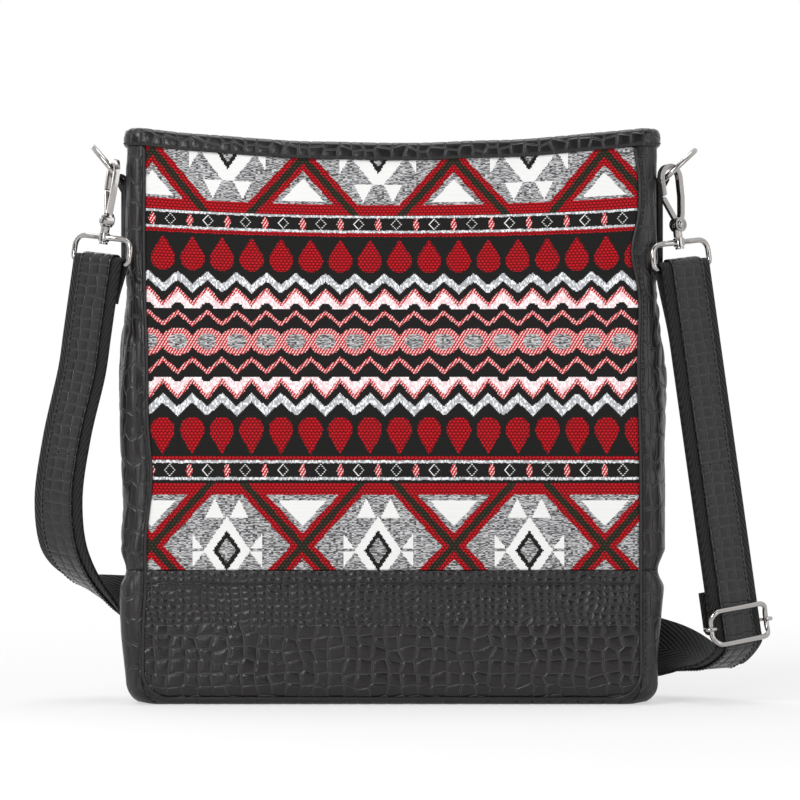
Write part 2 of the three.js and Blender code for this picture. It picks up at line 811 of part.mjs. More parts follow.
// The inner layer comes back down from the right loop, goes round the adjuster's centre bar
// and is sewn to itself.
function addReturn(strap) {
  const rings = [];
  const section = (along, w, nv, nw) => {
    const centre = place(strap, 0, loopLowV - along, w);
    const across = vec(1, 0, 0).transformDirection(strap);
    const through = vec(0, nv, nw).transformDirection(strap);
    rings.push(setSection(rectangle(strapWidth, webbingThickness), centre, across, through));
  };
  const start = foldLength + swingRoom;
  const closeSteps = 6;
  for (let i = 0; i <= closeSteps; i++) {
    const ease = THREE.MathUtils.smoothstep(i, 0, closeSteps);
    section(start + (closeDrop * i) / closeSteps, THREE.MathUtils.lerp(-layerOffset, returnOffset, ease), 0, 1);
  }
  const turnRadius = returnOffset - barOffset;
  section(adjusterDrop - endLength, returnOffset, 0, 1);
  const steps = 8;
  for (let i = 0; i <= steps; i++) {
    const a = Math.PI * (i / steps);
    section(adjusterDrop + turnRadius * Math.sin(a), barOffset + turnRadius * Math.cos(a), -Math.sin(a), Math.cos(a));
  }
  section(adjusterDrop - endLength / 2, barOffset - turnRadius, 0, -1);
  section(adjusterDrop - endLength, barOffset - turnRadius, 0, -1);
  addPiece("strap_return", loft(rings), cotton);
}

// The adjuster: a wire frame over the strap's face, and a centre bar behind it whose ends are
// rolled round the frame's short sides.
function addAdjuster(strap) {
  const v0 = loopLowV - adjusterDrop;
  const facingTop = layerOffset + facingOffset + facingThickness / 2;
  const frameOffset = facingTop + frameRoom + frameWireRadius;
  const halfAcross = strapWidth / 2 + gap + barRadius + frameWireRadius;
  const flat = roundedPath(halfAcross, -frameHeight / 2, frameHeight / 2, frameCorner, frameCorner);
  const frameWire = flat.map(([u, v]) => {
    const side = THREE.MathUtils.smoothstep(Math.abs(u), strapWidth / 2, halfAcross);
    const middle = 1 - (2 * v / frameHeight) ** 2;
    return vec(u, v0 + v, frameOffset - frameBow * side * middle);
  });
  addPiece("adjuster_frame", closedWire(frameWire, frameWireRadius, Z), nickel).applyMatrix4(strap);
  const sideOffset = frameOffset - frameBow;
  const rollRadius = frameWireRadius + 2 * gap + barRadius * barTaper;
  const path = [];
  const rollSteps = 8;
  for (const side of [-1, 1]) {
    const end = [];
    for (let i = 0; i <= rollSteps; i++) {
      const a = Math.PI * (1.2 * (i / rollSteps));
      end.push([side * (halfAcross + rollRadius * Math.sin(a)), sideOffset - rollRadius * Math.cos(a)]);
    }
    end.unshift([side * (strapWidth / 2 + gap), barOffset]);
    path.push(...(side < 0 ? end.reverse() : end));
  }
  const rings = path.map(([u, w], i) => {
    const before = path[Math.max(i - 1, 0)];
    const after = path[Math.min(i + 1, path.length - 1)];
    const tangent = vec(after[0] - before[0], 0, after[1] - before[1]).normalize();
    return setSection(circle(barRadius * barTaper), vec(u, v0, w), Y, tangent.clone().cross(Y));
  });
  addPiece("adjuster_bar", loft(rings), nickel).applyMatrix4(strap);
}

addPanels();
addBottomAndLining();
addBinding();
addSnap();
const leftStrap = addHanger("left");
const rightStrap = addHanger("right");
addStrap(leftStrap, rightStrap);
addReturn(rightStrap);
addAdjuster(rightStrap);

export default bag;
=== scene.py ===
import math

import bmesh
import bpy
from mathutils import Matrix, Vector, noise


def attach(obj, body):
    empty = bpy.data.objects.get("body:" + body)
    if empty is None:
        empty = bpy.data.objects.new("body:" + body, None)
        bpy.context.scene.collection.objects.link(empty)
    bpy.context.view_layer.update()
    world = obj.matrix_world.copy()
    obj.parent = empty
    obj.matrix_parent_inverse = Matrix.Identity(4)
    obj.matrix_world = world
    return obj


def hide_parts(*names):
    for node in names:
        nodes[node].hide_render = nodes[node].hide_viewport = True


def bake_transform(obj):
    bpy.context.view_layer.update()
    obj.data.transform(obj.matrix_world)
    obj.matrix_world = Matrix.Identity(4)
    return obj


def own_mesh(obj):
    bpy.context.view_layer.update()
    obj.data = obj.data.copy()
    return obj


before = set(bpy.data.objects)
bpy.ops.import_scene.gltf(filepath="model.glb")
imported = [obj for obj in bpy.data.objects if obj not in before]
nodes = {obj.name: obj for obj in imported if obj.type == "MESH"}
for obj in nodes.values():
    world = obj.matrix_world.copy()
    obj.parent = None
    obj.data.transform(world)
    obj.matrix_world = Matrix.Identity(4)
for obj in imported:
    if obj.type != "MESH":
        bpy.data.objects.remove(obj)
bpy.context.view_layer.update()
print("bag: frame loaded")

mm = 0.001


# Small helpers

def lerp(a, b, t):
    return a + (b - a) * t


def clamp(t):
    return min(max(t, 0.0), 1.0)


def smooth(t):
    t = clamp(t)
    return t * t * (3 - 2 * t)


def hump(value, middle, width):
    return math.exp(-((value - middle) / width) ** 2)


def steps(low, high, count):
    return [lerp(low, high, i / count) for i in range(count + 1)]


def wander(x, y, seed):
    return noise.noise(Vector((x, y, seed)))


def addObject(name, data):
    thing = bpy.data.objects.new(name, data)
    bpy.context.scene.collection.objects.link(thing)
    return thing


# Node trees, for shaders and for geometry alike

def feed(tree, value, socket):
    value = getattr(value, "socket", value)
    if isinstance(value, bpy.types.NodeSocket):
        tree.links.new(value, socket)
    elif socket.type == "RGBA":
        socket.default_value = (*value, 1)
    else:
        socket.default_value = value


def addNode(tree, kind, inputs=None, **settings):
    item = tree.nodes.new(kind)
    for name, value in settings.items():
        setattr(item, name, value)
    for key, value in (inputs or {}).items():
        feed(tree, value, item.inputs[key])
    return item


def sumOf(operation):
    return lambda self, other: self.calc(operation, self, other)


def mirroredSum(operation):
    return lambda self, other: self.calc(operation, other, self)


class Value:
    # a number on a socket: sums and comparisons with it add math nodes, & and | join masks

    def __init__(self, tree, socket):
        self.tree = tree
        self.socket = socket

    def calc(self, operation, *terms):
        item = addNode(self.tree, "ShaderNodeMath", dict(enumerate(terms)), operation=operation)
        return Value(self.tree, item.outputs[0])

    __add__, __radd__ = sumOf("ADD"), mirroredSum("ADD")
    __sub__, __rsub__ = sumOf("SUBTRACT"), mirroredSum("SUBTRACT")
    __mul__, __rmul__ = sumOf("MULTIPLY"), mirroredSum("MULTIPLY")
    __truediv__, __mod__ = sumOf("DIVIDE"), sumOf("FLOORED_MODULO")
    __lt__, __gt__ = sumOf("LESS_THAN"), sumOf("GREATER_THAN")
    __and__, __or__ = sumOf("MULTIPLY"), sumOf("MAXIMUM")
    pingpong = sumOf("PINGPONG")

    def __floordiv__(self, other):
        return self.calc("FLOOR", self / other)

    def __abs__(self):
        return self.calc("ABSOLUTE", self)

    def sine(self):
        return self.calc("SINE", self)

    def ramp(self, low, high, toLow=0.0, toHigh=1.0):
        item = addNode(self.tree, "ShaderNodeMapRange", {
            "Value": self, "From Min": low, "From Max": high, "To Min": toLow, "To Max": toHigh},
            interpolation_type="SMOOTHSTEP")
        return Value(self.tree, item.outputs["Result"])

    def blend(self, first, second):
        item = addNode(self.tree, "ShaderNodeMix", {"Factor": self}, data_type="RGBA")
        colours = [s for s in item.inputs if s.type == "RGBA"]
        feed(self.tree, first, colours[0])
        feed(self.tree, second, colours[1])
        return next(s for s in item.outputs if s.type == "RGBA")


def square(value):
    return value * value


def between(value, low, high):
    return (value > low) & (value < high)


def axesOf(tree, vector):
    item = addNode(tree, "ShaderNodeSeparateXYZ", {"Vector": vector})
    return [Value(tree, item.outputs[axis]) for axis in "XYZ"]


def vectorOf(tree, x, y, z=0.0):
    return addNode(tree, "ShaderNodeCombineXYZ", {"X": x, "Y": y, "Z": z}).outputs[0]


def cloud(tree, place, size, detail):
    item = addNode(tree, "ShaderNodeTexNoise", {"Vector": place, "Scale": size, "Detail": detail})
    return Value(tree, item.outputs[0])


def newMaterial(name, **settings):
    material = bpy.data.materials.new(name)
    material.use_nodes = True
    tree = material.node_tree
    shader = tree.nodes["Principled BSDF"]
    for key, value in settings.items():
        feed(tree, value, shader.inputs[key.replace("_", " ")])
    return material, tree, shader


def bumpInto(tree, shader, height, depth, strength):
    bump = addNode(tree, "ShaderNodeBump", {"Height": height, "Distance": depth, "Strength": strength})
    feed(tree, bump.outputs["Normal"], shader.inputs["Normal"])


def onPiece(tree, source):
    if source == "Object":
        return addNode(tree, "ShaderNodeTexCoord").outputs["Object"]
    return addNode(tree, "ShaderNodeUVMap", uv_map="UVMap").outputs["UV"]


# Embossed scales, in millimetres: the same nodes give the relief of the mesh and, in the leather, the bump,
# the gloss, a painted shade in the creases and a painted highlight along the scales' edges. Above the height
# called change the base has smaller, rounder scales.

scales = {
    "base": {"source": "Object", "cell": (8.7, 7.4), "waver": 2.2, "irregular": 0.36,
             "change": (47.2, 48.4), "upperCell": (4.9, 4.1), "upperSwell": 0.3},
    "strip": {"source": "UV", "cell": (8.3, 6.6), "waver": 0.5, "irregular": 0.2},
    "trim": {"source": "UV", "cell": (9.5, 8.0), "waver": 1.6, "irregular": 0.55},
    "gusset": {"source": "UV", "cell": (3.9, 14.0), "waver": 2.0, "irregular": 0.5},
    "back": {"source": "Object", "cell": (9.5, 8.5), "waver": 2.6, "irregular": 0.34},
    "swell": 0.1,
    "crease": 0.11,
    "shoulder": 0.42,
}


def scaleHeight(across, along, layout):
    tree = across.tree
    facts = scales[layout]
    x = across * (1 / mm)
    y = along * (1 / mm)
    shift = (cloud(tree, vectorOf(tree, x, y), 0.045, 1.0) - 0.5) * (4 * facts["waver"])

    def cells(size, swell):
        place = vectorOf(tree, (x + shift) / size[0], (y + shift) / size[1])
        cell = addNode(tree, "ShaderNodeTexVoronoi", voronoi_dimensions="2D", feature="DISTANCE_TO_EDGE",
                       inputs={"Vector": place, "Scale": 1.0, "Randomness": facts["irregular"]})
        edge = Value(tree, cell.outputs["Distance"])
        groove = edge.ramp(0.005, scales["crease"], 0.0, 1 - swell)
        return groove + edge.ramp(0.0, scales["shoulder"], 0.0, swell)

    height = cells(facts["cell"], scales["swell"])
    if "change" in facts:
        upper = y.ramp(*facts["change"])
        height = cells(facts["upperCell"], facts["upperSwell"]) * upper + height * (1 - upper)
    return height


leather = {
    "grey": (0.0058, 0.0046, 0.0054),
    "cloudy": 1.9,  # how much lighter the light places are
    "gloss": 0.19,
    "uneven": 0.16,
    # painted shade: how dark the creases between the scales are painted
    "paintedCreaseShade": 0.35,
    "creaseRough": 0.2,
    # painted highlight: the lighter colour laid along the upper edges of the creases
    "paintedEdgeHighlight": (0.048, 0.045, 0.049),
    "relief": 5.5,
}


def leatherMaterial(name, layout=None, grey=leather["grey"], gloss=leather["gloss"]):
    material, tree, shader = newMaterial(name, Roughness=0.4, Specular_IOR_Level=0.45)
    source = scales[layout]["source"] if layout else "Object"
    place = onPiece(tree, source)
    x, y, z = axesOf(tree, place)
    shade = cloud(tree, place, 38.0, 4.0)
    grain = addNode(tree, "ShaderNodeTexVoronoi", {"Vector": place, "Scale": 1500.0}, feature="F1")
    tint = shade.blend(grey, tuple(leather["cloudy"] * c for c in grey))
    roughness = shade * leather["uneven"] + gloss
    skin = Value(tree, grain.outputs["Distance"]) * 0.4 + cloud(tree, place, 420.0, 3.0)
    if layout:
        height = scaleHeight(x, z if source == "Object" else y, layout)
        # painted shade: the colour is darkened down in the creases between the scales
        tint = height.blend(tuple(leather["paintedCreaseShade"] * c for c in grey), tint)
        # painted highlight: a bright band along each scale's edge, just above the crease
        paintedEdgeHighlight = height.ramp(0.0, 0.3) - height.ramp(0.35, 0.68)
        tint = paintedEdgeHighlight.blend(tint, leather["paintedEdgeHighlight"])
        roughness = roughness + height.ramp(0.0, 1.0, leather["creaseRough"], 0.0)
        skin = height * leather["relief"] + skin
    feed(tree, tint, shader.inputs["Base Color"])
    feed(tree, roughness, shader.inputs["Roughness"])
    bumpInto(tree, shader, skin, 0.00012, 0.6)
    return material


def metalMaterial(name, colour, roughness):
    material, tree, shader = newMaterial(name, Metallic=1.0, Base_Color=colour)
    place = onPiece(tree, "Object")
    wear = cloud(tree, place, 60.0, 2.0)
    feed(tree, wear.ramp(0.35, 0.7, roughness, roughness + 0.14), shader.inputs["Roughness"])
    bumpInto(tree, shader, cloud(tree, place, 260.0, 5.0), 0.000015, 0.4)
    return material


twill = {"pitch": 2.6 * mm, "yarn": 0.5 * mm, "slant": 2.1,
         "dark": (0.0018, 0.0018, 0.0018), "light": (0.0125, 0.0120, 0.0125)}


def webbingMaterial(name):
    material, tree, shader = newMaterial(name, Roughness=0.72, Specular_IOR_Level=0.22, Sheen_Weight=0.08)
    x, y, _ = axesOf(tree, onPiece(tree, "UV"))
    slant = abs(x) * twill["slant"] + y
    ribs = (slant / twill["pitch"]).pingpong(1.0).ramp(0.05, 0.75)
    yarn = (y / twill["yarn"]).pingpong(1.0)
    feed(tree, ribs.blend(twill["dark"], twill["light"]), shader.inputs["Base Color"])
    bumpInto(tree, shader, yarn * 0.25 + ribs, 0.0005, 0.9)
    return material


def clothMaterial(name, dark, light, pitch):
    material, tree, shader = newMaterial(name, Roughness=0.8, Specular_IOR_Level=0.25)
    x, y, z = axesOf(tree, onPiece(tree, "Object"))
    turn = 2 * math.pi / pitch
    weft = ((x + y) * turn).sine()
    warp = (z * turn).sine()
    crossed = (weft * warp).ramp(-1.0, 1.0)
    feed(tree, crossed.blend(dark, light), shader.inputs["Base Color"])
    bumpInto(tree, shader, crossed, 0.0002, 0.6)
    return material


# The woven front. Its rows are laid out in units of 0.6 mm, across from the left and down from
# the top, and turn over about the middle row.

weave = {
    "unit": 0.6 * mm,
    "middleX": 392.0,
    "baseRow": 705.0,
    "mirrorRow": 340.0,
    "lowerScale": 0.95,
    "stitch": 1.45,
    "sag": {"depth": 12.0, "from": 0.20, "to": 0.345, "halfWidth": 0.150},
    "repeat": {"start": 302.0, "pitch": 151.0},
    "drop": {"start": 310.0, "pitch": 29.6, "tip": 232.0, "neck": 250.5, "middle": 255.5, "radius": 12.0},
    "zigzag": {"row": 281.5, "rise": -12.9, "thick": 8.8},
    "ridge": {"row": 300.0, "rise": -15.8, "foot": 306.2, "rim": 4.6, "archRow": 307.5, "archSquare": 44.0},
    "thin": {"row": 320.5, "rise": -12.5, "thick": 4.6},
    "chain": {"squash": 0.82, "outerSquare": 178.0, "innerSquare": 62.0},
    "line": {"upper": (207.6, 210.2), "lower": (223.6, 226.2), "red": (226.4, 230.2),
             "inside": (210.2, 222.6), "middle": 216.5},
    "band": {"upperFoot": 206.5, "lowerTop": 482.0, "red": ((195.5, 206.5), (482.0, 493.5)),
             "stripe": 4.6, "edge": 12.0},
    "black": (0.014, 0.0135, 0.013),
    "red": (0.47, 0.008, 0.014),
    "darkRed": (0.10, 0.002, 0.004),
    "white": (0.78, 0.78, 0.77),
    "pink": (0.74, 0.55, 0.58),
    "lightPink": (0.86, 0.84, 0.84),
    "pale": (0.72, 0.62, 0.62),
    "silver": (0.38, 0.39, 0.41),
    "lightSilver": (0.74, 0.75, 0.76),
    "heather": ((0.026, 0.026, 0.027), (0.60, 0.60, 0.61)),
    "stripe": ((0.010, 0.009, 0.006), (0.036, 0.032, 0.020)),
}


def spread(value, start, pitch):
    # how far a place lies from the middle of its repeat
    return (((value - start) / pitch + 0.5) % 1 - 0.5) * pitch


def wovenYarns(tree, column, row):
    # the colours that the yarns give, the height of knots and ribs, and the ragged edge of lines
    def randomCell(width, height, seed):
        place = vectorOf(tree, column // width, row // height, seed)
        return Value(tree, addNode(tree, "ShaderNodeTexWhiteNoise", {"Vector": place}).outputs["Value"])

    line = (row / 1.5).pingpong(0.5)
    heather = randomCell(2.3, 0.75, 3.0) * 0.60 + line * 0.9
    fleck = randomCell(1.3, 2.2, 7.0) > 0.6
    dash = ((column / 3.1 + row / 5.2) % 1 < 0.42) & ((row / 2.6) % 1 < 0.74)
    brick = (row // 3.0) % 2.0 * 0.5
    knitX = (column / 3.8 + brick).pingpong(0.5)
    knitY = (row / 3.0).pingpong(0.5)
    knot = (knitX * knitY).ramp(0.008, 0.085)
    ribbed = (row / 1.3).pingpong(0.5).ramp(0.05, 0.45)
    colours = {
        "heather": heather.ramp(0.28, 0.88).blend(*weave["heather"]),
        "redWhite": dash.blend(weave["red"], weave["pale"]),
        "silver": fleck.blend(weave["silver"], weave["lightSilver"]),
        "pinkish": fleck.blend(weave["pink"], weave["lightPink"]),
        "knitted": knot.blend(weave["darkRed"], weave["red"]),
        "black": ribbed.blend(tuple(0.5 * v for v in weave["black"]), weave["black"]),
        "white": ribbed.blend(tuple(0.86 * v for v in weave["white"]), weave["white"]),
        "stripe": knot.blend(*weave["stripe"]),
    }
    return colours, knot, ribbed, randomCell(1.5, 9.0, 5.0) * 0.9


def middleRows(column, row, p, f, rowFold, ragged):
    # the rows of drops, zigzags and chain, and the narrow row of lozenges between two lines
    drop, zigzag, ridge, thin, chain, line = (
        weave[key] for key in ("drop", "zigzag", "ridge", "thin", "chain", "line"))
    repeat = weave["repeat"]
    side = abs(spread(p, drop["start"], drop["pitch"]))
    peak = side / (drop["pitch"] / 2)
    notch = drop["pitch"] / 2 - side
    bowl = square(side) + square(f - drop["middle"]) < square(drop["radius"])
    cone = between(f, drop["tip"], drop["neck"]) & (side < (f - drop["tip"]) * 0.6)
    zigzagTop = peak * zigzag["rise"] + zigzag["row"]
    ridgeTop = peak * ridge["rise"] + ridge["row"]
    arch = square(notch) + square(f - ridge["archRow"]) < ridge["archSquare"]
    ridges = (f > ridgeTop) & (f < ridge["foot"]) & (1 - arch)
    thinTop = peak * thin["rise"] + thin["row"]
    oval = square(notch * chain["squash"]) + square(f - weave["mirrorRow"])

    lozengeX = abs(spread(p, repeat["start"], repeat["pitch"] / 4))
    lozengeY = abs(f - line["middle"])
    lozenges = (lozengeY * 0.42 + lozengeX < 3.6) & (lozengeY < 7.0) & between(f, *line["inside"])
    diamondX = abs(spread(column, repeat["start"] + repeat["pitch"] / 8, repeat["pitch"] / 4))
    diamondY = abs(rowFold - line["middle"])
    rim = abs(diamondY * 0.9 + diamondX - 5.0)
    dotted = (row * 3.4).sine() > -0.1
    plain = spread(column, repeat["start"] + repeat["pitch"] / 8, repeat["pitch"] / 2) > 10.0

    drops = bowl | cone
    redLine = between(ragged, *line["red"])
    return drops | redLine, [
        (drops, "knitted"), (between(f, zigzagTop, zigzagTop + zigzag["thick"]), "silver"),
        (ridges, "pinkish"), (ridges & (f < ridgeTop + ridge["rim"]), "redWhite"),
        (between(f, thinTop, thinTop + thin["thick"]), "redWhite"),
        (between(oval, chain["innerSquare"], chain["outerSquare"]), "redWhite"),
        (oval < chain["innerSquare"], "heather"), (redLine, "knitted"),
        (between(ragged, *line["upper"]) | between(ragged, *line["lower"]), "silver"),
        (lozenges, "redWhite"),
        ((rim < 0.62) & (dotted | plain) & between(rowFold, *line["inside"]), "white"),
    ]


def outerBands(p, q):
    # the two broad bands: crossed stripes, triangles, and a white motif in each field
    band, repeat = weave["band"], weave["repeat"]
    upperBand = q < band["upperFoot"]
    lowerBand = q > band["lowerTop"]
    bands = upperBand | lowerBand
    apexX = abs(spread(p, repeat["start"], repeat["pitch"]))
    upperSlant = (q - 147.0) * -0.89 + apexX
    lowerSlant = abs(q - 545.0) * -0.94 + apexX
    slant = abs(upperBand * upperSlant + lowerBand * lowerSlant)
    stripe = slant < band["stripe"]
    redEdge = (slant < band["edge"]) & (1 - stripe)
    redBand = between(q, *band["red"][0]) | between(q, *band["red"][1])
    triangle = (upperBand & (upperSlant < -18.5) & (q < 192.5)
                | lowerBand & (lowerSlant < -18.5) & between(q, 499.0, 530.0))

    motifX = abs(spread(p, repeat["start"] + repeat["pitch"] / 2, repeat["pitch"]))
    up = 173.0 - q
    innerArm = (up - 11.0) * 0.63
    arms = (up > 0.0) & (motifX > innerArm) & (motifX < up * 0.77 + 5.6)
    hook = (up > 12.0) & (motifX < 38.5) & (motifX > up * -0.56 + 44.5)
    feet = (up < 0.0) & (up > -19.0) & (abs(motifX - 15.0) < up * 0.5 + 9.5)
    notch = (motifX < innerArm) & (motifX > innerArm - 4.5)
    upperMotif = upperBand & (upperSlant > 16.0) & (q < 194.0)

    rise = 549.5 - q
    gem = abs(rise) * 0.69 + motifX
    ears = between(rise, 33.0, 52.0) & (abs(motifX - 12.0) < (52.0 - rise) * 0.5)
    wings = between(motifX, 23.0, 35.0) & (abs(rise) > 1.4) & (abs(rise) < (motifX - 22.0) * 1.3)
    lowerMotif = lowerBand & (lowerSlant > 14.0)
    return redBand | bands & (redEdge | stripe), [
        (bands, "heather"), (upperMotif & (arms | hook | feet), "white"), (upperMotif & notch, "black"),
        (lowerMotif & (between(gem, 14.0, 23.5) | ears | wings), "white"),
        (lowerMotif & between(gem, 9.0, 14.0), "black"), (triangle, "white"),
        (redBand, "knitted"), (bands & redEdge, "knitted"), (bands & stripe, "stripe"),
    ]


def textileMaterial(name):
    material, tree, shader = newMaterial(name, Roughness=0.88, Specular_IOR_Level=0.15)
    x, _, z = axesOf(tree, onPiece(tree, "Object"))
    sag, middle = weave["sag"], weave["mirrorRow"]
    column = x / weave["unit"] + weave["middleX"]
    bow = 1 - square(x / sag["halfWidth"])
    row = weave["baseRow"] - z / weave["unit"] - bow * z.ramp(sag["from"], sag["to"], 0.0, sag["depth"])
    p = column // weave["stitch"] * weave["stitch"]
    q = row // weave["stitch"] * weave["stitch"]
    shrink = (q > middle) * (weave["lowerScale"] - 1) + 1
    f = middle - abs(q - middle) * shrink
    rowFold = middle - abs(row - middle) * shrink

    colours, knot, ribbed, ragged = wovenYarns(tree, column, row)
    thickMiddle, middleLayers = middleRows(column, row, p, f, rowFold, ragged + rowFold)
    thickOuter, outerLayers = outerBands(p, q)
    colour = colours["black"]
    for mask, layer in middleLayers + outerLayers:
        colour = mask.blend(colour, colours[layer])
    feed(tree, colour, shader.inputs["Base Color"])
    bumpInto(tree, shader, (thickMiddle | thickOuter) * (knot + 0.6) + ribbed * 0.35, 0.0004, 0.8)
    return material


print("bag: materials")
nickel = metalMaterial("polished nickel", (0.40, 0.385, 0.375), 0.09)
scaleLeather = leatherMaterial("embossed leather of the base", "base")
backLeather = leatherMaterial("embossed leather of the back", "back")
stripLeather = leatherMaterial("embossed leather strip", "strip", (0.0048, 0.0042, 0.0048))
trimLeather = leatherMaterial("embossed leather trim", "trim", (0.0045, 0.0040, 0.0046))
gussetLeather = leatherMaterial("soft grained leather of the gussets", "gusset", gloss=0.27)
plainLeather = leatherMaterial("plain soft leather", gloss=0.28)
webbing = webbingMaterial("black twill webbing")
liningCloth = clothMaterial("lining cloth", (0.018, 0.017, 0.018), (0.05, 0.048, 0.05), 0.0011)
woven = textileMaterial("woven patterned textile")
thread = clothMaterial("waxed thread", (0.012, 0.012, 0.013), (0.05, 0.048, 0.05), 0.0004)


# Meshes from grids and sections

def finishMesh(name, points, faces, uvs, material):
    mesh = bpy.data.meshes.new(name)
    mesh.from_pydata([tuple(p) for p in points], [], faces)
    shape = bmesh.new()
    shape.from_mesh(mesh)
    bmesh.ops.recalc_face_normals(shape, faces=shape.faces)
    shape.to_mesh(mesh)
    shape.free()
    if uvs:
        layer = mesh.uv_layers.new(name="UVMap")
        for loop in mesh.loops:
            layer.data[loop.index].uv = uvs[loop.vertex_index]
    for face in mesh.polygons:
        face.use_smooth = True
    mesh.materials.append(material)
    return addObject(name, mesh)


def wall(name, across, up, outer, inner, material, size=(1, 1)):
    points = []
    uvs = []
    for face in (outer, inner):
        for v in up:
            for u in across:
                points.append(face(u, v))
                uvs.append((u * size[0], v * size[1]))
    n = len(across)
    sheet = n * len(up)
    faces = []
    for j in range(len(up) - 1):
        for i in range(n - 1):
            a = j * n + i
            quad = (a, a + 1, a + n + 1, a + n)
            faces.append(quad)
            faces.append(tuple(k + sheet for k in reversed(quad)))
    rim = [*range(n), *[j * n + n - 1 for j in range(1, len(up))]]
    rim += [(len(up) - 1) * n + i for i in range(n - 2, -1, -1)]
    rim += [j * n for j in range(len(up) - 2, 0, -1)]
    for k, a in enumerate(rim):
        b = rim[(k + 1) % len(rim)]
        faces.append((b, a, a + sheet, b + sheet))
    return finishMesh(name, points, faces, uvs, material)


def loft(name, sections, material, joined=False, lengths=None, widths=None):
    count = len(sections[0])
    points = [p for section in sections for p in section]
    uvs = []
    for i in range(len(sections)):
        for j in range(count):
            uvs.append((widths[j] if widths else j / count, lengths[i] if lengths else i / len(sections)))
    faces = []
    last = len(sections) if joined else len(sections) - 1
    for i in range(last):
        for j in range(count):
            a = i * count + j
            b = i * count + (j + 1) % count
            step = ((i + 1) % len(sections)) * count - i * count
            faces.append((a, b, b + step, a + step))
    if not joined:
        faces.append(tuple(range(count - 1, -1, -1)))
        faces.append(tuple((len(sections) - 1) * count + j for j in range(count)))
    return finishMesh(name, points, faces, uvs, material)


def tube(name, path, radius, material, sides, up):
    sections = []
    turns = [2 * math.pi * k / sides for k in range(sides)]
    side = None
    for i, point in enumerate(path):
        along = (path[min(i + 1, len(path) - 1)] - path[max(i - 1, 0)]).normalized()
        if side is None:
            side = along.cross(up)
        side = (side - along * side.dot(along)).normalized()
        over = along.cross(side)
        sections.append([
            point + side * (radius * math.cos(a)) + over * (radius * math.sin(a)) for a in turns])
    return loft(name, sections, material)


# Geometry Nodes: the relief of the scales, and the stitches

def newTree(name, inputs):
    tree = bpy.data.node_groups.new(name, "GeometryNodeTree")
    tree.interface.new_socket("Geometry", in_out="INPUT", socket_type="NodeSocketGeometry")
    for label, kind, value in inputs:
        socket = tree.interface.new_socket(label, in_out="INPUT", socket_type=kind)
        if value is not None:
            socket.default_value = value
    tree.interface.new_socket("Geometry", in_out="OUTPUT", socket_type="NodeSocketGeometry")
    return tree, tree.nodes.new("NodeGroupInput"), tree.nodes.new("NodeGroupOutput")


def socketId(tree, label):
    return next(s.identifier for s in tree.interface.items_tree if s.name == label and s.in_out == "INPUT")


def applyTree(piece, tree, values):
    modifier = piece.modifiers.new("shape", "NODES")
    modifier.node_group = tree
    for label, value in values.items():
        modifier[socketId(tree, label)] = value
    bpy.context.view_layer.update()
    shaped = piece.evaluated_get(bpy.context.evaluated_depsgraph_get())
    mesh = bpy.data.meshes.new_from_object(shaped, preserve_all_data_layers=True,
                                           depsgraph=bpy.context.evaluated_depsgraph_get())
    piece.modifiers.clear()
    old = piece.data
    piece.data = mesh
    bpy.data.meshes.remove(old)
    return piece


def dress(tree, geometry, start, end):
    dressed = addNode(tree, "GeometryNodeSetMaterial", {
        "Geometry": geometry, "Material": start.outputs["Finish"]})
    feed(tree, dressed.outputs[0], end.inputs[0])
    return tree


def reliefTree(layout):
    tree, start, end = newTree(f"scales in relief, {layout}", [
        ("Depth", "NodeSocketFloat", 0.0006), ("Facing", "NodeSocketVector", (0, 0, 0)),
        ("Finish", "NodeSocketMaterial", None)])
    if scales[layout]["source"] == "Object":
        place = addNode(tree, "GeometryNodeInputPosition").outputs[0]
        across, _, along = axesOf(tree, place)
    else:
        place = addNode(tree, "GeometryNodeInputNamedAttribute", {"Name": "UVMap"}, data_type="FLOAT_VECTOR")
        across, along, _ = axesOf(tree, place.outputs["Attribute"])
    normal = addNode(tree, "GeometryNodeInputNormal").outputs[0]
    outward = addNode(tree, "ShaderNodeVectorMath", {0: normal, 1: start.outputs["Facing"]},
                      operation="DOT_PRODUCT")
    facing = Value(tree, outward.outputs["Value"]) > -0.5
    lift = (scaleHeight(across, along, layout) - 1.0) * Value(tree, start.outputs["Depth"])
    move = addNode(tree, "ShaderNodeVectorMath", {0: normal, "Scale": lift * facing}, operation="SCALE")
    moved = addNode(tree, "GeometryNodeSetPosition", {
        "Geometry": start.outputs["Geometry"], "Offset": move.outputs["Vector"]})
    whole = addNode(tree, "GeometryNodeRealizeInstances", {"Geometry": moved.outputs[0]})
    return dress(tree, whole.outputs[0], start, end)


def stitchTree():
    tree, start, end = newTree("stitches along a line", [
        ("Pitch", "NodeSocketFloat", 0.0034), ("Stitch Length", "NodeSocketFloat", 0.0026),
        ("Thread", "NodeSocketFloat", 0.00035), ("Finish", "NodeSocketMaterial", None)])
    line = addNode(tree, "GeometryNodeMeshToCurve", {"Mesh": start.outputs["Geometry"]})
    spaced = addNode(tree, "GeometryNodeCurveToPoints", {
        "Curve": line.outputs[0], "Length": start.outputs["Pitch"]}, mode="LENGTH")
    ball = addNode(tree, "GeometryNodeMeshUVSphere", {"Segments": 6, "Rings": 5, "Radius": 1.0})
    half = Value(tree, start.outputs["Stitch Length"]) * 0.5
    gauge = start.outputs["Thread"]
    each = addNode(tree, "GeometryNodeInstanceOnPoints", {
        "Points": spaced.outputs["Points"], "Instance": ball.outputs["Mesh"],
        "Rotation": spaced.outputs["Rotation"], "Scale": vectorOf(tree, gauge, gauge, half)})
    whole = addNode(tree, "GeometryNodeRealizeInstances", {"Geometry": each.outputs[0]})
    smoothed = addNode(tree, "GeometryNodeSetShadeSmooth", {"Geometry": whole.outputs[0]})
    return dress(tree, smoothed.outputs[0], start, end)


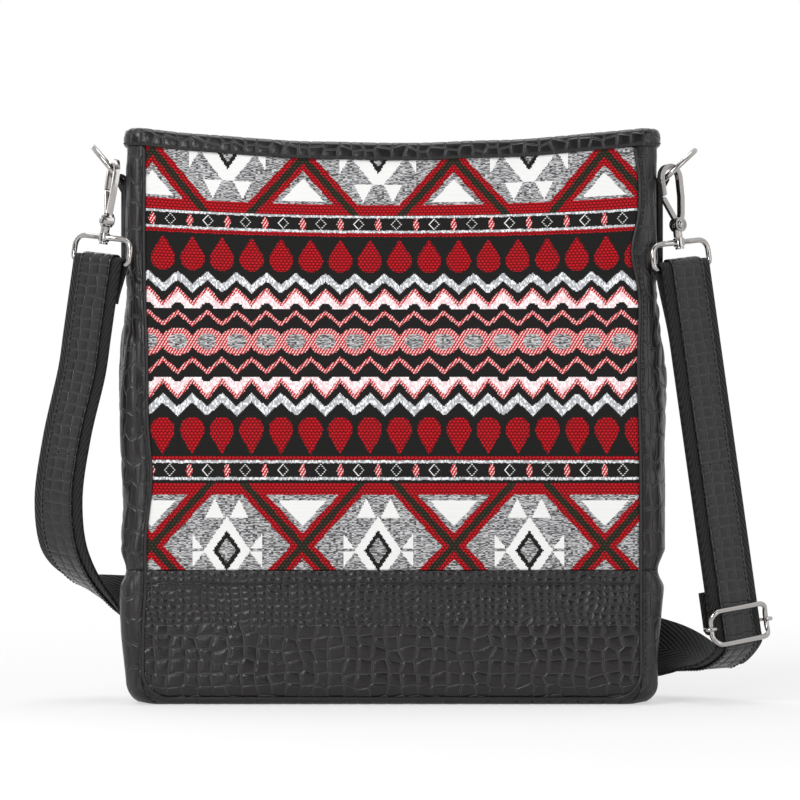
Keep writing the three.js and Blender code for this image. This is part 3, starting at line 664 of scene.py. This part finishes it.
reliefs = {layout: reliefTree(layout) for layout in ("base", "back", "strip", "trim")}
sewing = stitchTree()


def emboss(piece, layout, depth, material, behind=(0, 0, 0)):
    return applyTree(piece, reliefs[layout], {"Depth": depth, "Facing": behind, "Finish": material})


sewn = {"Pitch": 0.0034, "Stitch Length": 0.0026, "Thread": 0.00035, "Finish": thread}


def stitches(name, lines):
    points = []
    edges = []
    for line in lines:
        edges += [(len(points) + i, len(points) + i + 1) for i in range(len(line) - 1)]
        points += [tuple(p) for p in line]
    mesh = bpy.data.meshes.new(name)
    mesh.from_pydata(points, edges, [])
    return applyTree(addObject(name, mesh), sewing, sewn)


# The body of the bag

body = {
    "height": 0.345,
    "halfWidth": 0.160,
    "baseHalfDepth": 0.036,
    "mouthHalfDepth": 0.022,
    "corner": 0.010,
    "foot": 0.013,
    "baseHeight": 0.081,
    "dip": 0.009,
    "bulge": 0.005,
    "leather": 0.002,
    "gap": 0.0003,
    "rimGap": 0.0005,
    "sideGap": 0.0002,
    "grip": 0.0008,  # how far a front seam is drawn in at the least
}
baseTop = body["baseHeight"] - body["gap"] / 2
upperFoot = body["baseHeight"] + body["gap"] / 2
flatHalf = body["halfWidth"] - body["corner"]


def footInset(z):
    r = body["foot"]
    drop = r - min(max(z, 0), r)
    return r - math.sqrt(r * r - drop * drop)


def halfDepthAt(z):
    return lerp(body["baseHalfDepth"], body["mouthHalfDepth"], z / body["height"])


def bulgeAt(x, z):
    side = max(1 - (x / flatHalf) ** 2, 0)
    return body["bulge"] * side * math.sin((math.pi * clamp(z / body["height"])) ** 0.9) if side else 0


def mouthAt(x):
    return body["height"] - body["dip"] * max(1 - (x / flatHalf) ** 2, 0)


def cornerAt(inset):
    return max(body["corner"] - inset, 0.001)


def frontPoint(x, z, inset=0.0, side=-1):
    r = cornerAt(inset)
    edge = body["halfWidth"] - footInset(z) - inset - r
    share = x / flatHalf
    depth = halfDepthAt(z) - footInset(z) - inset
    flat = edge * share
    return Vector((flat, side * (depth + bulgeAt(flat, z)), z))


def gussetLengths(z, inset):
    r = cornerAt(inset)
    depth = halfDepthAt(z) - footInset(z) - inset
    return r * math.pi / 2, 2 * (depth - r)


def gussetPoint(s, z, side, inset=0.0):
    # s runs in metres from the front corner's start, round the side, to the back corner's end
    r = cornerAt(inset)
    arc, straight = gussetLengths(z, inset)
    wide = body["halfWidth"] - footInset(z) - inset
    depth = halfDepthAt(z) - footInset(z) - inset
    whole = 2 * arc + straight
    if s < 0 or s > whole:
        past = -s if s < 0 else s - whole
        x = wide - r - past
        share = x / max(wide - r, 0.001) * flatHalf
        front = frontPoint(share, z, inset, -1 if s < 0 else 1)
        return Vector((side * front.x, front.y, z))
    if s <= arc:
        a = s / r
        return Vector((side * (wide - r + r * math.sin(a)), -(depth - r) - r * math.cos(a), z))
    if s <= arc + straight:
        return Vector((side * wide, -(depth - r) + (s - arc), z))
    a = (s - arc - straight) / r
    return Vector((side * (wide - r + r * math.cos(a)), (depth - r) + r * math.sin(a), z))


# How far each front seam is drawn in over the front, down its length
seams = {
    "right": [(0.0048, 0.272, 0.017), (0.0030, 0.338, 0.016), (0.0012, 0.20, 0.03)],
    "left": [(0.0045, 0.136, 0.030), (0.0020, 0.20, 0.04), (0.0015, 0.075, 0.02)],
}


def drawnIn(side, z):
    return body["grip"] + sum(depth * hump(z, middle, width) for depth, middle, width in seams[side])


# The four walls: how far each ripples, how fine its mesh is, and how deep its scales are
walls = {
    "front": {"slack": 0.0011, "step": 0.0024},
    "frontBase": {"slack": 0.0016, "step": 0.0009, "depth": 0.00045},
    "back": {"slack": 0.0010, "step": 0.0021, "depth": 0.0007},
    "backBase": {"slack": 0.0006, "step": 0.0014, "depth": 0.0007},
    "fewestRows": 40, "hem": 0.0007, "hemFrom": 0.0080, "hemOver": 0.0010,
}


def fade(value, low, high, over):
    return smooth((value - low) / over) * smooth((high - value) / over)


def frontWall(name, facts, low, high, side, material):
    # a wall without a high edge runs up to the mouth, with its rows closer than its columns
    cols = round(2 * flatHalf / facts["step"])
    rows = round((body["height"] * (2 - low) if high is None else high - low) / facts["step"])

    def face(inset):
        def at(u, v):
            topZ = mouthAt(u * flatHalf) - body["rimGap"] if high is None else high
            z = lerp(low, topZ, v)
            half = flatHalf - body["sideGap"]
            left = half - (drawnIn("left", z) if side < 0 else 0)
            right = half - (drawnIn("right", z) if side < 0 else 0)
            x = lerp(-left, right, (u + 1) / 2)
            point = frontPoint(x, z, inset, side)
            ripple = wander(x * 9, z * 13, 2.0) + 0.45 * wander(x * 31, z * 26, 5.0)
            edge = fade(x, -left, right, 0.02) * fade(z, low, topZ, 0.018)
            point.y += side * facts["slack"] * ripple * edge
            if high is not None and not inset:
                point.y += side * walls["hem"] * smooth((z - topZ + walls["hemFrom"]) / walls["hemOver"])
            return point
        return at

    across, up = steps(-1, 1, cols), steps(0, 1, max(rows, walls["fewestRows"]))
    return wall(name, across, up, face(0.0), face(body["leather"]), material)


print("bag: walls")
frontTextile = frontWall("front_textile", walls["front"], upperFoot, None, -1, woven)
frontBase = frontWall("front_base", walls["frontBase"], 0.0, baseTop, -1, scaleLeather)
emboss(frontBase, "base", walls["frontBase"]["depth"], scaleLeather, (0, -1, 0))
backUpper = frontWall("back_upper", walls["back"], upperFoot, None, 1, backLeather)
emboss(backUpper, "back", walls["back"]["depth"], backLeather, (0, 1, 0))
backBase = frontWall("back_base", walls["backBase"], 0.0, baseTop, 1, scaleLeather)
emboss(backBase, "base", walls["backBase"]["depth"], scaleLeather, (0, 1, 0))
for piece, node in ((frontTextile, "front_textile_panel"), (frontBase, "front_base_panel"),
                    (backUpper, "back_panel"), (backBase, "back_base_panel")):
    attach(piece, "bag")
    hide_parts(node)


# The gussets: folds run down them, gather below the tab and lie flat under the tab and binding
gusset = {
    "belly": 0.0056, "folds": 0.0021, "deepest": 0.0013, "grid": 0.0017, "round": 0.078, "uvRound": 0.075,
    "tab": {"low": 0.258, "high": 0.330, "half": 0.0095, "ease": 0.006, "easeUp": 0.008},
    "bindingFlat": 0.011,
    "gather": {"z": 0.244, "wide": 0.024},
    "right": {"side": 1, "seed": 3.0, "waist": 0.19},
    "left": {"side": -1, "seed": 17.0, "waist": 0.13},
}


def crease(x, y, seed, sharp):
    away = abs(wander(x, y, seed))
    return (1 - away * 1.6) ** sharp if away < 0.62 else 0.0


def gussetFold(s, whole, z, facts):
    seed, tab, gather = facts["seed"], gusset["tab"], gusset["gather"]
    belly = gusset["belly"] * max(math.sin(math.pi * clamp(s / whole)), 0) ** 0.7 * fade(z, 0.01, 0.262, 0.07)
    lean = z * 26 + 1.2 * wander(s * 20, z * 9, seed + 2)
    long = crease(s * 70 + lean * 0.5, z * 10, seed, 3)
    slanted = crease(s * 55 - z * 60, z * 14 + s * 20, seed + 5, 4)
    broad = wander(s * 38 + z * 7, z * 12, seed + 7)
    gathered = hump(z, gather["z"], gather["wide"]) + 0.6 * hump(z, facts["waist"], 0.06)
    folds = 1.1 * broad - (0.55 + 0.9 * gathered) * long - 0.8 * gathered * slanted
    free = smooth((abs(s - whole / 2) - tab["half"]) / tab["ease"])
    if not tab["low"] < z < tab["high"]:
        away = min(abs(z - tab["low"]), abs(z - tab["high"]))
        free = max(free, smooth(away / tab["easeUp"]))
    return (belly + max(gusset["folds"] * folds, -gusset["deepest"] - 0.6 * belly)) * free


def gussetWall(name, sideName, low, high=None):
    facts = gusset[sideName]
    side = facts["side"]
    tall = (body["height"] if high is None else high) - low

    def face(inset):
        def at(u, v):
            topZ = body["height"] - body["rimGap"] if high is None else high
            z = lerp(low, topZ, v)
            arc, straight = gussetLengths(z, 0.0)
            whole = 2 * arc + straight
            thisArc, thisStraight = gussetLengths(z, inset)
            inner = 2 * thisArc + thisStraight
            start = -drawnIn(sideName, z)
            s = lerp(start, whole, u)
            t = s if s < 0 else s * inner / whole
            point = gussetPoint(t, z, side, inset)
            if inset:
                return point
            ahead = gussetPoint(min(t + 0.0004, inner), z, side) - gussetPoint(t - 0.0004, z, side)
            outward = Vector((ahead.y, -ahead.x, 0)) * side
            outward = outward.normalized() if outward.length > 1e-9 else Vector((side, 0, 0))
            edge = smooth((s - start) / 0.006) * smooth((whole - s) / 0.006)
            edge *= fade(z, low, topZ - (gusset["bindingFlat"] if high is None else 0), 0.012)
            return point + outward * (gussetFold(s, whole, z, facts) * edge)
        return at

    across = steps(0, 1, round(gusset["round"] / gusset["grid"]))
    up = steps(0, 1, round(tall / gusset["grid"]))
    return wall(name, across, up, face(0.0), face(body["leather"]), gussetLeather, (gusset["uvRound"], tall))


print("bag: gussets")
for sideName in ("right", "left"):
    upper = gussetWall(f"{sideName}_gusset_leather", sideName, upperFoot)
    lower = gussetWall(f"{sideName}_base_gusset_leather", sideName, 0.0, baseTop)
    for piece, node in ((upper, f"{sideName}_gusset"), (lower, f"{sideName}_base_gusset")):
        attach(piece, "bag")
        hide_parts(node)


# The welt: a covered cord down each front seam and along the foot

welt = {"radius": 0.0011, "sides": 10, "corner": 0.016, "bend": 0.022, "footZ": 0.0042, "proud": 0.0003,
        "below": 0.0095}


def weltPath():
    path = []
    top = body["height"] - welt["below"]
    for sideName, side in (("left", -1), ("right", 1)):
        down = []
        for z in steps(top, welt["footZ"] + welt["corner"], 120):
            x = flatHalf - drawnIn(sideName, z)
            down.append((side * x, z))
        x = abs(down[-1][0])
        for k in range(1, 13):
            a = math.pi / 2 * k / 12
            down.append((side * (x - welt["corner"] * (1 - math.cos(a))),
                         welt["footZ"] + welt["corner"] * (1 - math.sin(a))))
        path += down if side < 0 else down[::-1]
        if side < 0:
            path += [(x, welt["footZ"]) for x in steps(-flatHalf + welt["bend"], flatHalf - welt["bend"], 90)]
    points = []
    for x, z in path:
        edge = body["halfWidth"] - footInset(z) - body["corner"]
        point = frontPoint(x * flatHalf / edge, z)
        points.append(Vector((x, point.y - welt["proud"], z)))
    return points


weltPiece = tube("seam_welt", weltPath(), welt["radius"], plainLeather, welt["sides"], Vector((0, -1, 0)))
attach(weltPiece, "bag")
print("bag: welt")


# The binding round the mouth

binding = {"depth": 0.009, "leather": 0.0016, "stitchDrop": 0.0072, "wall": 0.003, "step": 0.0016,
           "embossed": 0.0003}


def mouthRound(step):
    # stations round the mouth, each a place for a height and an inset, and the mouth's height there
    arc, straight = gussetLengths(body["height"], 0.0)
    frontSteps = round(2 * flatHalf / step)
    sideSteps = round((2 * arc + straight) / step)

    def onFront(x, side):
        return lambda z, inset: frontPoint(x, z, inset, side)

    def onGusset(share, side):
        return lambda z, inset: gussetPoint(
            share * (2 * gussetLengths(z, inset)[0] + gussetLengths(z, inset)[1]), z, side, inset)

    stations = []
    for side in (-1, 1):
        for x in steps(side * flatHalf, -side * flatHalf, frontSteps)[:-1]:
            stations.append((onFront(x, side), mouthAt(x)))
        for k in range(sideSteps):
            share = k / sideSteps
            stations.append((onGusset(share if side < 0 else 1 - share, -side), body["height"]))
    return stations


def bindingSection(puff):
    out = -body["gap"] - binding["leather"]
    inn = binding["wall"] + 2 * body["gap"] + binding["leather"]
    low = -binding["depth"]
    outer = [(out + 0.0006, low), (out, low + 0.0006), (out - 0.0002 * puff, low + 0.0025),
             (out - 0.0003 * puff, -0.004), (out - 0.0001, -0.0015), (out + 0.0006, 0.0002),
             (out + 0.0018, 0.0013), (lerp(out, inn, 0.5), 0.0019), (inn - 0.0018, 0.0013),
             (inn - 0.0006, 0.0002), (inn, -0.0015), (inn, -0.004), (inn, low + 0.0006), (inn - 0.0006, low)]
    inner = [(inn - binding["leather"], low), (inn - binding["leather"], 0.0002),
             (out + binding["leather"], 0.0002), (out + binding["leather"], low)]
    return outer + inner


def makeBinding():
    stations = mouthRound(binding["step"])
    sections = []
    lengths = []
    along = 0.0
    last = None
    for k, (at, z) in enumerate(stations):
        puff = 1 + 0.8 * wander(k * 0.11, 0, 8.0)
        sag = 0.0006 * wander(k * 0.045, 3.0, 8.0)
        section = [at(z + dz + sag, inset) for inset, dz in bindingSection(puff)]
        if last:
            along += (section[3] - last[3]).length
        last = section
        sections.append(section)
        lengths.append(along)
    flat = [0.0]
    profile = bindingSection(1)
    for (a, b), (c, d) in zip(profile, profile[1:]):
        flat.append(flat[-1] + math.hypot(c - a, d - b))
    piece = loft("rim_binding_leather", sections, trimLeather, True, lengths, flat)
    line = [at(z - binding["stitchDrop"], -body["gap"] - binding["leather"] - 0.00022) for at, z in stations]
    return piece, line + [line[0]]


bindingPiece, bindingLine = makeBinding()
emboss(bindingPiece, "trim", binding["embossed"], trimLeather)
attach(bindingPiece, "bag")
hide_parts("rim_binding")
print("bag: binding")


# Stitching on the bag itself

sewnRows = {"drops": (0.0022, 0.0085), "proud": 0.0002, "edge": 0.004, "sideProud": 0.0003, "fromSeam": 0.003,
            "foot": 0.018, "top": 0.012}


def frontLine(z, side):
    half = flatHalf - sewnRows["edge"]
    return [frontPoint(x, z, -sewnRows["proud"], side) for x in steps(-half, half, 90)]


def seamLine(sideName):
    side = gusset[sideName]["side"]
    return [gussetPoint(-drawnIn(sideName, z) + sewnRows["fromSeam"], z, side, -sewnRows["sideProud"])
            for z in steps(sewnRows["foot"], body["height"] - sewnRows["top"], 150)]


rows = [frontLine(body["baseHeight"] - drop, side) for side in (-1, 1) for drop in sewnRows["drops"]]
bagStitches = stitches("bag_stitches", [bindingLine, *rows, seamLine("right"), seamLine("left")])
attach(bagStitches, "bag")
print("bag: stitches")


# The hangers' frames: v runs up the hook, u across the strap, w out of its face

hanger = {
    "barZ": 0.316, "halfBar": 0.009, "ringCorner": 0.008, "wire": 0.0017, "tab": 0.0018,
    "lean": math.radians(8), "turn": math.radians(38), "loopLow": -0.054,
    "right": {"side": 1, "tilt": 43, "arc": 48, "drop": 0.0010, "out": 0.0017},
    "left": {"side": -1, "tilt": 50, "arc": 74, "drop": 0.0007, "out": 0.0004},
}
hanger["barX"] = body["halfWidth"] + body["gap"] + hanger["tab"] + body["gap"] + hanger["wire"]


def bowCentre(name):
    facts = hanger[name]
    arc, tilt = math.radians(facts["arc"]), math.radians(facts["tilt"])
    reach = hanger["ringCorner"] * (1 - math.cos(arc))
    return Vector((facts["side"] * (hanger["barX"] + reach * math.cos(tilt) + facts["out"]),
                   -hanger["halfBar"] - hanger["ringCorner"] * math.sin(arc),
                   hanger["barZ"] + reach * math.sin(tilt) - facts["drop"]))


def hangerFrame(name, turn):
    side = hanger[name]["side"]
    v = Vector((-side * math.sin(hanger["lean"]), 0, math.cos(hanger["lean"])))
    level = Vector((side * math.cos(hanger["lean"]), 0, math.sin(hanger["lean"])))
    w = level * math.sin(turn) - Vector((0, 1, 0)) * math.cos(turn)
    u = v.cross(w)
    place = Matrix((u, v, w)).transposed().to_4x4()
    place.translation = bowCentre(name)
    return place


leftStrap = hangerFrame("left", hanger["turn"])
rightStrap = hangerFrame("right", hanger["turn"])


# The strap: one band from the left loop, down, behind the bag and up to the right loop

strap = {
    "width": 0.038, "webbing": 0.002, "facingWidth": 0.025, "facing": 0.0014,
    "facingColumns": 20, "webColumns": 12, "foldFaced": 24, "foldSewn": 12, "faceStep": 0.0013,
    "middleStep": 0.0015, "embossed": 0.0004, "splitZ": 0.150, "sewnInset": 0.0016,
    "blendFrom": 0.004, "blendTo": 0.030, "travel": 0.05,
    "layer": 0.0030, "facingLift": 0.0020, "return": 0.0007, "bar": -0.0021,
    "fold": 0.024, "close": 0.045, "adjuster": 0.218, "end": 0.022, "clearance": 0.012,
    "bagFrom": 0.120, "step": 0.003,
    "route": [
        ((-196, -20, 160), (0.79, -0.62, 0)), ((-201, -19, 122), (0.79, -0.62, 0)),
        ((-198, -9, 92), (0.79, -0.62, -0.05)), ((-185, 16, 70), (0.72, -0.6, -0.3)),
        ((-167, 42, 60), (0.45, -0.4, -0.8)), ((-138, 53, 53), (0.1, -0.1, -1)),
        ((-80, 50, 47), (0, 0, -1)), ((0, 47, 43), (0, 0, -1)), ((80, 50, 39), (0, 0, -1)),
        ((136, 55, 35), (-0.1, -0.1, -1)), ((168, 44, 29), (-0.4, -0.35, -0.85)),
        ((186, 20, 24), (-0.72, -0.57, -0.35)), ((198, -1, 23), (-0.79, -0.62, 0)),
    ],
}


def turned(place, vector):
    return (place.to_3x3() @ Vector(vector)).normalized()


def strapStation(place, along, w, v=0.0, through=(0, 0, 1), sign=1):
    centre = place @ Vector((0, hanger["loopLow"] - along + v, w))
    return centre, turned(place, (sign, 0, 0)), turned(place, through)


def foldStations(place, sign, closed):
    # from the front leg, up over the loop's bar and down behind it
    line = [strapStation(place, s, strap["layer"], sign=sign) for s in steps(strap["fold"], 0.002, 7)]
    for a in steps(0, math.pi, 16):
        line.append(strapStation(place, 0, strap["layer"] * math.cos(a), strap["layer"] * math.sin(a),
                                 (0, math.sin(a), math.cos(a)), sign))
    for s in steps(0.002, closed, round(closed / 0.003)):
        w = lerp(-strap["layer"], strap["return"], smooth(s / closed))
        line.append(strapStation(place, s, w, through=(0, 0, -1), sign=sign))
    return line


def spline(points, i, t):
    p1, p2 = points[i], points[i + 1]
    p0 = points[i - 1] if i else p1 * 2 - p2
    p3 = points[i + 2] if i + 2 < len(points) else p2 * 2 - p1
    d0, d1, d2 = (max((b - a).length, 1e-7) ** 0.5 for a, b in ((p0, p1), (p1, p2), (p2, p3)))
    t1 = ((p1 - p0) / d0 - (p2 - p0) / (d0 + d1) + (p2 - p1) / d1) * d1
    t2 = ((p2 - p1) / d1 - (p3 - p1) / (d1 + d2) + (p3 - p2) / d2) * d1
    return p1 + t1 * t + (p1 * -3 + p2 * 3 - t1 * 2 - t2) * t * t + (p1 * 2 - p2 * 2 + t1 + t2) * t ** 3


def outerStations():
    start = strap["fold"] + 0.0016
    low = strap["adjuster"] + strap["clearance"]
    left = [strapStation(leftStrap, s, strap["layer"]) for s in steps(start, start + 0.04, 2)]
    right = [strapStation(rightStrap, s, strap["layer"], sign=-1) for s in steps(low, start, 41)]
    middle = [(Vector(p) * mm, Vector(w), None) for p, w in strap["route"]]
    stations = left + middle + right
    centres = [s[0] for s in stations]
    widths = [s[1] for s in stations]
    fine = []
    for i in range(len(stations) - 1):
        count = max(round((centres[i + 1] - centres[i]).length / strap["step"]), 1)
        for k in range(count):
            fine.append((spline(centres, i, k / count), spline(widths, i, k / count)))
    fine.append((centres[-1], widths[-1]))
    line = []
    for i, (centre, across) in enumerate(fine):
        along = (fine[min(i + 1, len(fine) - 1)][0] - fine[max(i - 1, 0)][0]).normalized()
        across = (across - along * across.dot(along)).normalized()
        line.append((centre, across, along.cross(across).normalized()))
    return line


outerLine = outerStations()
leftFold = foldStations(leftStrap, 1, strap["fold"])
rightFold = foldStations(rightStrap, -1, strap["close"])


def bandSection(width, thickness, columns, lift=0.0, soften=0.0004):
    half = width / 2
    top = lift + thickness / 2
    low = lift - thickness / 2
    over = [(a, top) for a in steps(-half + soften, half - soften, columns)]
    under = [(a, low) for a in steps(half - soften, -half + soften, max(columns // 3, 2))]
    return [(-half, low + soften), (-half, top - soften), *over,
            (half, top - soften), (half, low + soften), *under]


def band(name, line, section, material, start=0.0):
    sections = []
    lengths = [start]
    for i, (centre, across, outward) in enumerate(line):
        sections.append([centre + across * a + outward * b for a, b in section])
        if i:
            lengths.append(lengths[-1] + (centre - line[i - 1][0]).length)
    return loft(name, sections, material, False, lengths, [a for a, b in section]), lengths[-1]


def resample(line, step):
    fine = []
    for (c0, a0, o0), (c1, a1, o1) in zip(line, line[1:]):
        count = max(round((c1 - c0).length / step), 1)
        for k in range(count):
            t = k / count
            fine.append((c0.lerp(c1, t), a0.lerp(a1, t).normalized(), o0.lerp(o1, t).normalized()))
    fine.append(line[-1])
    return fine


def splitAt(line, place, along):
    target = place @ Vector((0, hanger["loopLow"] - along, strap["layer"]))
    return min(range(len(line)), key=lambda i: (line[i][0] - target).length)


leftSplit = min(range(len(outerLine) // 2), key=lambda i: abs(outerLine[i][0].z - strap["splitZ"]))
rightSplit = splitAt(outerLine, rightStrap, strap["bagFrom"])
webSection = bandSection(strap["width"], strap["webbing"], strap["webColumns"])
faceLift = strap["facingLift"]
faceSection = bandSection(strap["facingWidth"], strap["facing"], strap["facingColumns"], faceLift, 0.0003)


def returning(high, low, count):
    # the layer that comes back up behind the right run
    return [strapStation(rightStrap, s, strap["return"], through=(0, 0, -1), sign=-1)
            for s in steps(high, low, count)]


returnUpper = returning(strap["close"] + 0.003, strap["bagFrom"], 24)
sideRuns = {"left": outerLine[:leftSplit + 1], "middle": outerLine[leftSplit:rightSplit + 1],
            "right": outerLine[rightSplit:]}
print("bag: strap")


def strapRun(side, foldCount, behind=()):
    # the run of one side with the given number of stations of the fold that it starts or ends with
    if side == "left":
        return leftFold[:foldCount][::-1] + sideRuns[side]
    return sideRuns[side] + (rightFold[:foldCount] if side == "right" else []) + list(behind)


webs, faces, threads = {}, {}, {}
run = 0.0
for side, behind in (("left", ()), ("middle", ()), ("right", returnUpper)):
    line = strapRun(side, None, behind)
    webs[side], run = band(f"strap_{side}_webbing", line, webSection, webbing, run)
run = 0.0
for side, step in (("left", "faceStep"), ("middle", "middleStep"), ("right", "faceStep")):
    line = resample(strapRun(side, strap["foldFaced"]), strap[step])
    faces[side], run = band(f"strap_{side}_facing", line, faceSection, stripLeather, run)
for piece in faces.values():
    emboss(piece, "strip", strap["embossed"], stripLeather)


def edgeLines(line):
    edge = strap["facingWidth"] / 2 - strap["sewnInset"]
    lift = faceLift + strap["facing"] / 2 + 0.0001
    return [[c + a * (k * edge) + o * lift for c, a, o in line] for k in (-1, 1)]


for side in sideRuns:
    threads[side] = stitches(f"strap_{side}_stitches", edgeLines(strapRun(side, strap["foldSewn"])))

lowerLine = returning(strap["bagFrom"], strap["adjuster"] - strap["end"], 20)
lowerReturn, run = band("strap_return_lower", lowerLine, webSection, webbing, run)
turnRadius = strap["return"] - strap["bar"]
endLine = returning(strap["adjuster"] - strap["end"], strap["adjuster"] - 0.001, 8)
for a in steps(0, math.pi, 12):
    endLine.append(strapStation(rightStrap, strap["adjuster"], strap["bar"] + turnRadius * math.cos(a),
                                -turnRadius * math.sin(a), (0, math.sin(a), -math.cos(a)), -1))
endLine += [strapStation(rightStrap, s, strap["bar"] - turnRadius, sign=-1)
            for s in steps(strap["adjuster"] - 0.001, strap["adjuster"] - strap["end"], 8)]
endReturn, run = band("strap_return_end", endLine, webSection, webbing, run)

for piece in (webs["middle"], faces["middle"], threads["middle"], lowerReturn):
    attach(piece, "bag")
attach(endReturn, "adjuster")


def onStrap(place, along, w=0.0):
    return tuple(place @ Vector((0, hanger["loopLow"] - along, w)))


for side, place in (("left", leftStrap), ("right", rightStrap)):
    for piece in (webs[side], faces[side], threads[side]):
        onStrap(place, strap["bagFrom"] - strap["blendFrom"])
        onStrap(place, strap["blendTo"])
        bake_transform(piece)
onStrap(rightStrap, strap["bagFrom"], strap["return"])
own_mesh(lowerReturn)
for piece, replaced in (
        (webs["left"], ["left_strap_fold", "strap_webbing"]), (webs["middle"], ["strap_webbing"]),
        (webs["right"], ["right_strap_fold", "strap_webbing", "strap_return"]),
        (faces["left"], ["left_fold_facing", "strap_facing"]), (faces["middle"], ["strap_facing"]),
        (faces["right"], ["right_fold_facing", "strap_facing"]), (lowerReturn, ["strap_return"]),
        (endReturn, ["strap_return"])):
    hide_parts(*replaced)


# Finishes of the pieces that keep their own shape

cast = {"hookEdge": 0.00055, "tabEdge": 0.0006, "snapEdge": 0.0004, "segments": 3,
        "roundBelow": math.radians(50)}


def softened(name, bodyName, edge, material):
    # a merged copy of the solid with its sharp edges rounded off
    mesh = nodes[name].data.copy()
    shape = bmesh.new()
    shape.from_mesh(mesh)
    bmesh.ops.remove_doubles(shape, verts=shape.verts, dist=0.00001)
    if edge:
        bmesh.ops.dissolve_limit(shape, angle_limit=0.01, verts=shape.verts, edges=shape.edges)
    shape.to_mesh(mesh)
    shape.free()
    piece = addObject(f"{name}_finished", mesh)
    if edge:
        bevel = piece.modifiers.new("edges", "BEVEL")
        bevel.width = edge
        bevel.segments = cast["segments"]
        bevel.limit_method = "ANGLE"
        bevel.angle_limit = cast["roundBelow"]
        graph = bpy.context.evaluated_depsgraph_get()
        rounded = bpy.data.meshes.new_from_object(piece.evaluated_get(graph), depsgraph=graph)
        piece.modifiers.clear()
        piece.data = rounded
    piece.data.materials.clear()
    piece.data.materials.append(material)
    for face in piece.data.polygons:
        face.use_smooth = True
    piece.data.set_sharp_from_angle(angle=cast["roundBelow"])
    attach(piece, bodyName)
    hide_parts(name)
    return piece


finishes = [(f"{side}_{kind}", rider.format(side), edge, material) for side in ("left", "right")
            for kind, rider, edge, material in (
                ("tab", "bag", cast["tabEdge"], plainLeather), ("d_ring", "{}_ring", 0, nickel),
                ("loop", "{}_loop", 0, nickel), ("hook", "{}_hook", cast["hookEdge"], nickel),
                ("gate", "{}_gate", cast["hookEdge"], nickel), ("gate_pin", "{}_hook", 0, nickel))]
finishes += [("adjuster_frame", "adjuster", 0, nickel), ("adjuster_bar", "adjuster", 0, nickel),
             ("snap_front", "bag", cast["snapEdge"], nickel), ("snap_back", "bag", cast["snapEdge"], nickel)]
for finish in finishes:
    softened(*finish)

for name, material in (("lining", liningCloth), ("bottom_panel", plainLeather)):
    for slot in nodes[name].material_slots:
        slot.material = material
print("bag: finishes")


# Floor, light and camera

studio = {
    "width": 0.48, "distance": 2.57, "centre": (0.0048, 0.183), "sensor": 36.0,
    "ambient": 0.44, "dark": 0.08, "floor": (0.86, 0.86, 0.86), "floorHalf": 4.0, "mirrored": 0.3,
    "aim": (0, 0, 0.17),
    "lamps": [
        ("key", (-1.1, -1.7, 1.5), 1.1, 30.0), ("fill", (1.5, -1.5, 0.7), 1.4, 12.0),
        ("soft", (-0.75, -2.3, 0.62), 0.42, 9.0),
        ("top", (0.1, 0.3, 1.9), 1.0, 10.0), ("back", (-0.9, 1.6, 1.0), 1.0, 8.0),
    ],
}


def rays(tree):
    path = addNode(tree, "ShaderNodeLightPath").outputs
    return [Value(tree, path[f"Is {kind} Ray"]) for kind in ("Camera", "Glossy", "Transmission")]


def makeStudio():
    scene = bpy.context.scene
    scene.view_settings.view_transform = "Standard"
    world = scene.world or bpy.data.worlds.new("studio")
    scene.world = world
    world.use_nodes = True
    tree = world.node_tree
    tree.nodes.clear()
    toCamera, glossy, through = rays(tree)
    _, toward, _ = axesOf(tree, addNode(tree, "ShaderNodeTexCoord").outputs["Generated"])
    shade = toward.ramp(-0.75, -0.1, studio["dark"], 1.0) | toCamera
    dim = addNode(tree, "ShaderNodeBackground", {"Color": (1, 1, 1), "Strength": studio["ambient"]})
    white = addNode(tree, "ShaderNodeBackground", {"Color": (1, 1, 1), "Strength": shade})
    mixed = addNode(tree, "ShaderNodeMixShader", {
        0: toCamera | glossy | through, 1: dim.outputs[0], 2: white.outputs[0]})
    addNode(tree, "ShaderNodeOutputWorld", {"Surface": mixed.outputs[0]})

    floorMesh = bpy.data.meshes.new("floor")
    s = studio["floorHalf"]
    floorMesh.from_pydata([(-s, -s, 0), (s, -s, 0), (s, s, 0), (-s, s, 0)], [], [(0, 1, 2, 3)])
    floor = addObject("floor", floorMesh)
    material, tree, shader = newMaterial("pale floor", Roughness=0.9, Base_Color=studio["floor"])
    glow = addNode(tree, "ShaderNodeEmission", {"Color": (1, 1, 1), "Strength": 1.0})
    toCamera, glossy, _ = rays(tree)
    spot = addNode(tree, "ShaderNodeVectorMath", {0: onPiece(tree, "Object")}, operation="LENGTH")
    paler = Value(tree, spot.outputs["Value"]).ramp(0.2, 1.1, 0.55, 1.0)
    white = (toCamera | glossy * studio["mirrored"]) * paler
    mixed = addNode(tree, "ShaderNodeMixShader", {0: white, 1: shader.outputs[0], 2: glow.outputs[0]})
    output = next(n for n in tree.nodes if n.type == "OUTPUT_MATERIAL")
    tree.links.new(mixed.outputs[0], output.inputs["Surface"])
    floorMesh.materials.append(material)

    for name, place, size, power in studio["lamps"]:
        light = bpy.data.lights.new(name, "AREA")
        light.size = size
        light.energy = power
        lamp = addObject(name, light)
        lamp.location = place
        lamp.rotation_euler = (Vector(studio["aim"]) - Vector(place)).to_track_quat("-Z", "Y").to_euler()

    lens = bpy.data.cameras.new("camera")
    lens.sensor_width = studio["sensor"]
    lens.lens = studio["sensor"] * studio["distance"] / studio["width"]
    camera = addObject("camera", lens)
    x, z = studio["centre"]
    camera.location = (x, -studio["distance"] - 0.03, z)
    camera.rotation_euler = (math.pi / 2, 0, 0)
    scene.camera = camera


makeStudio()
print("bag: studio")
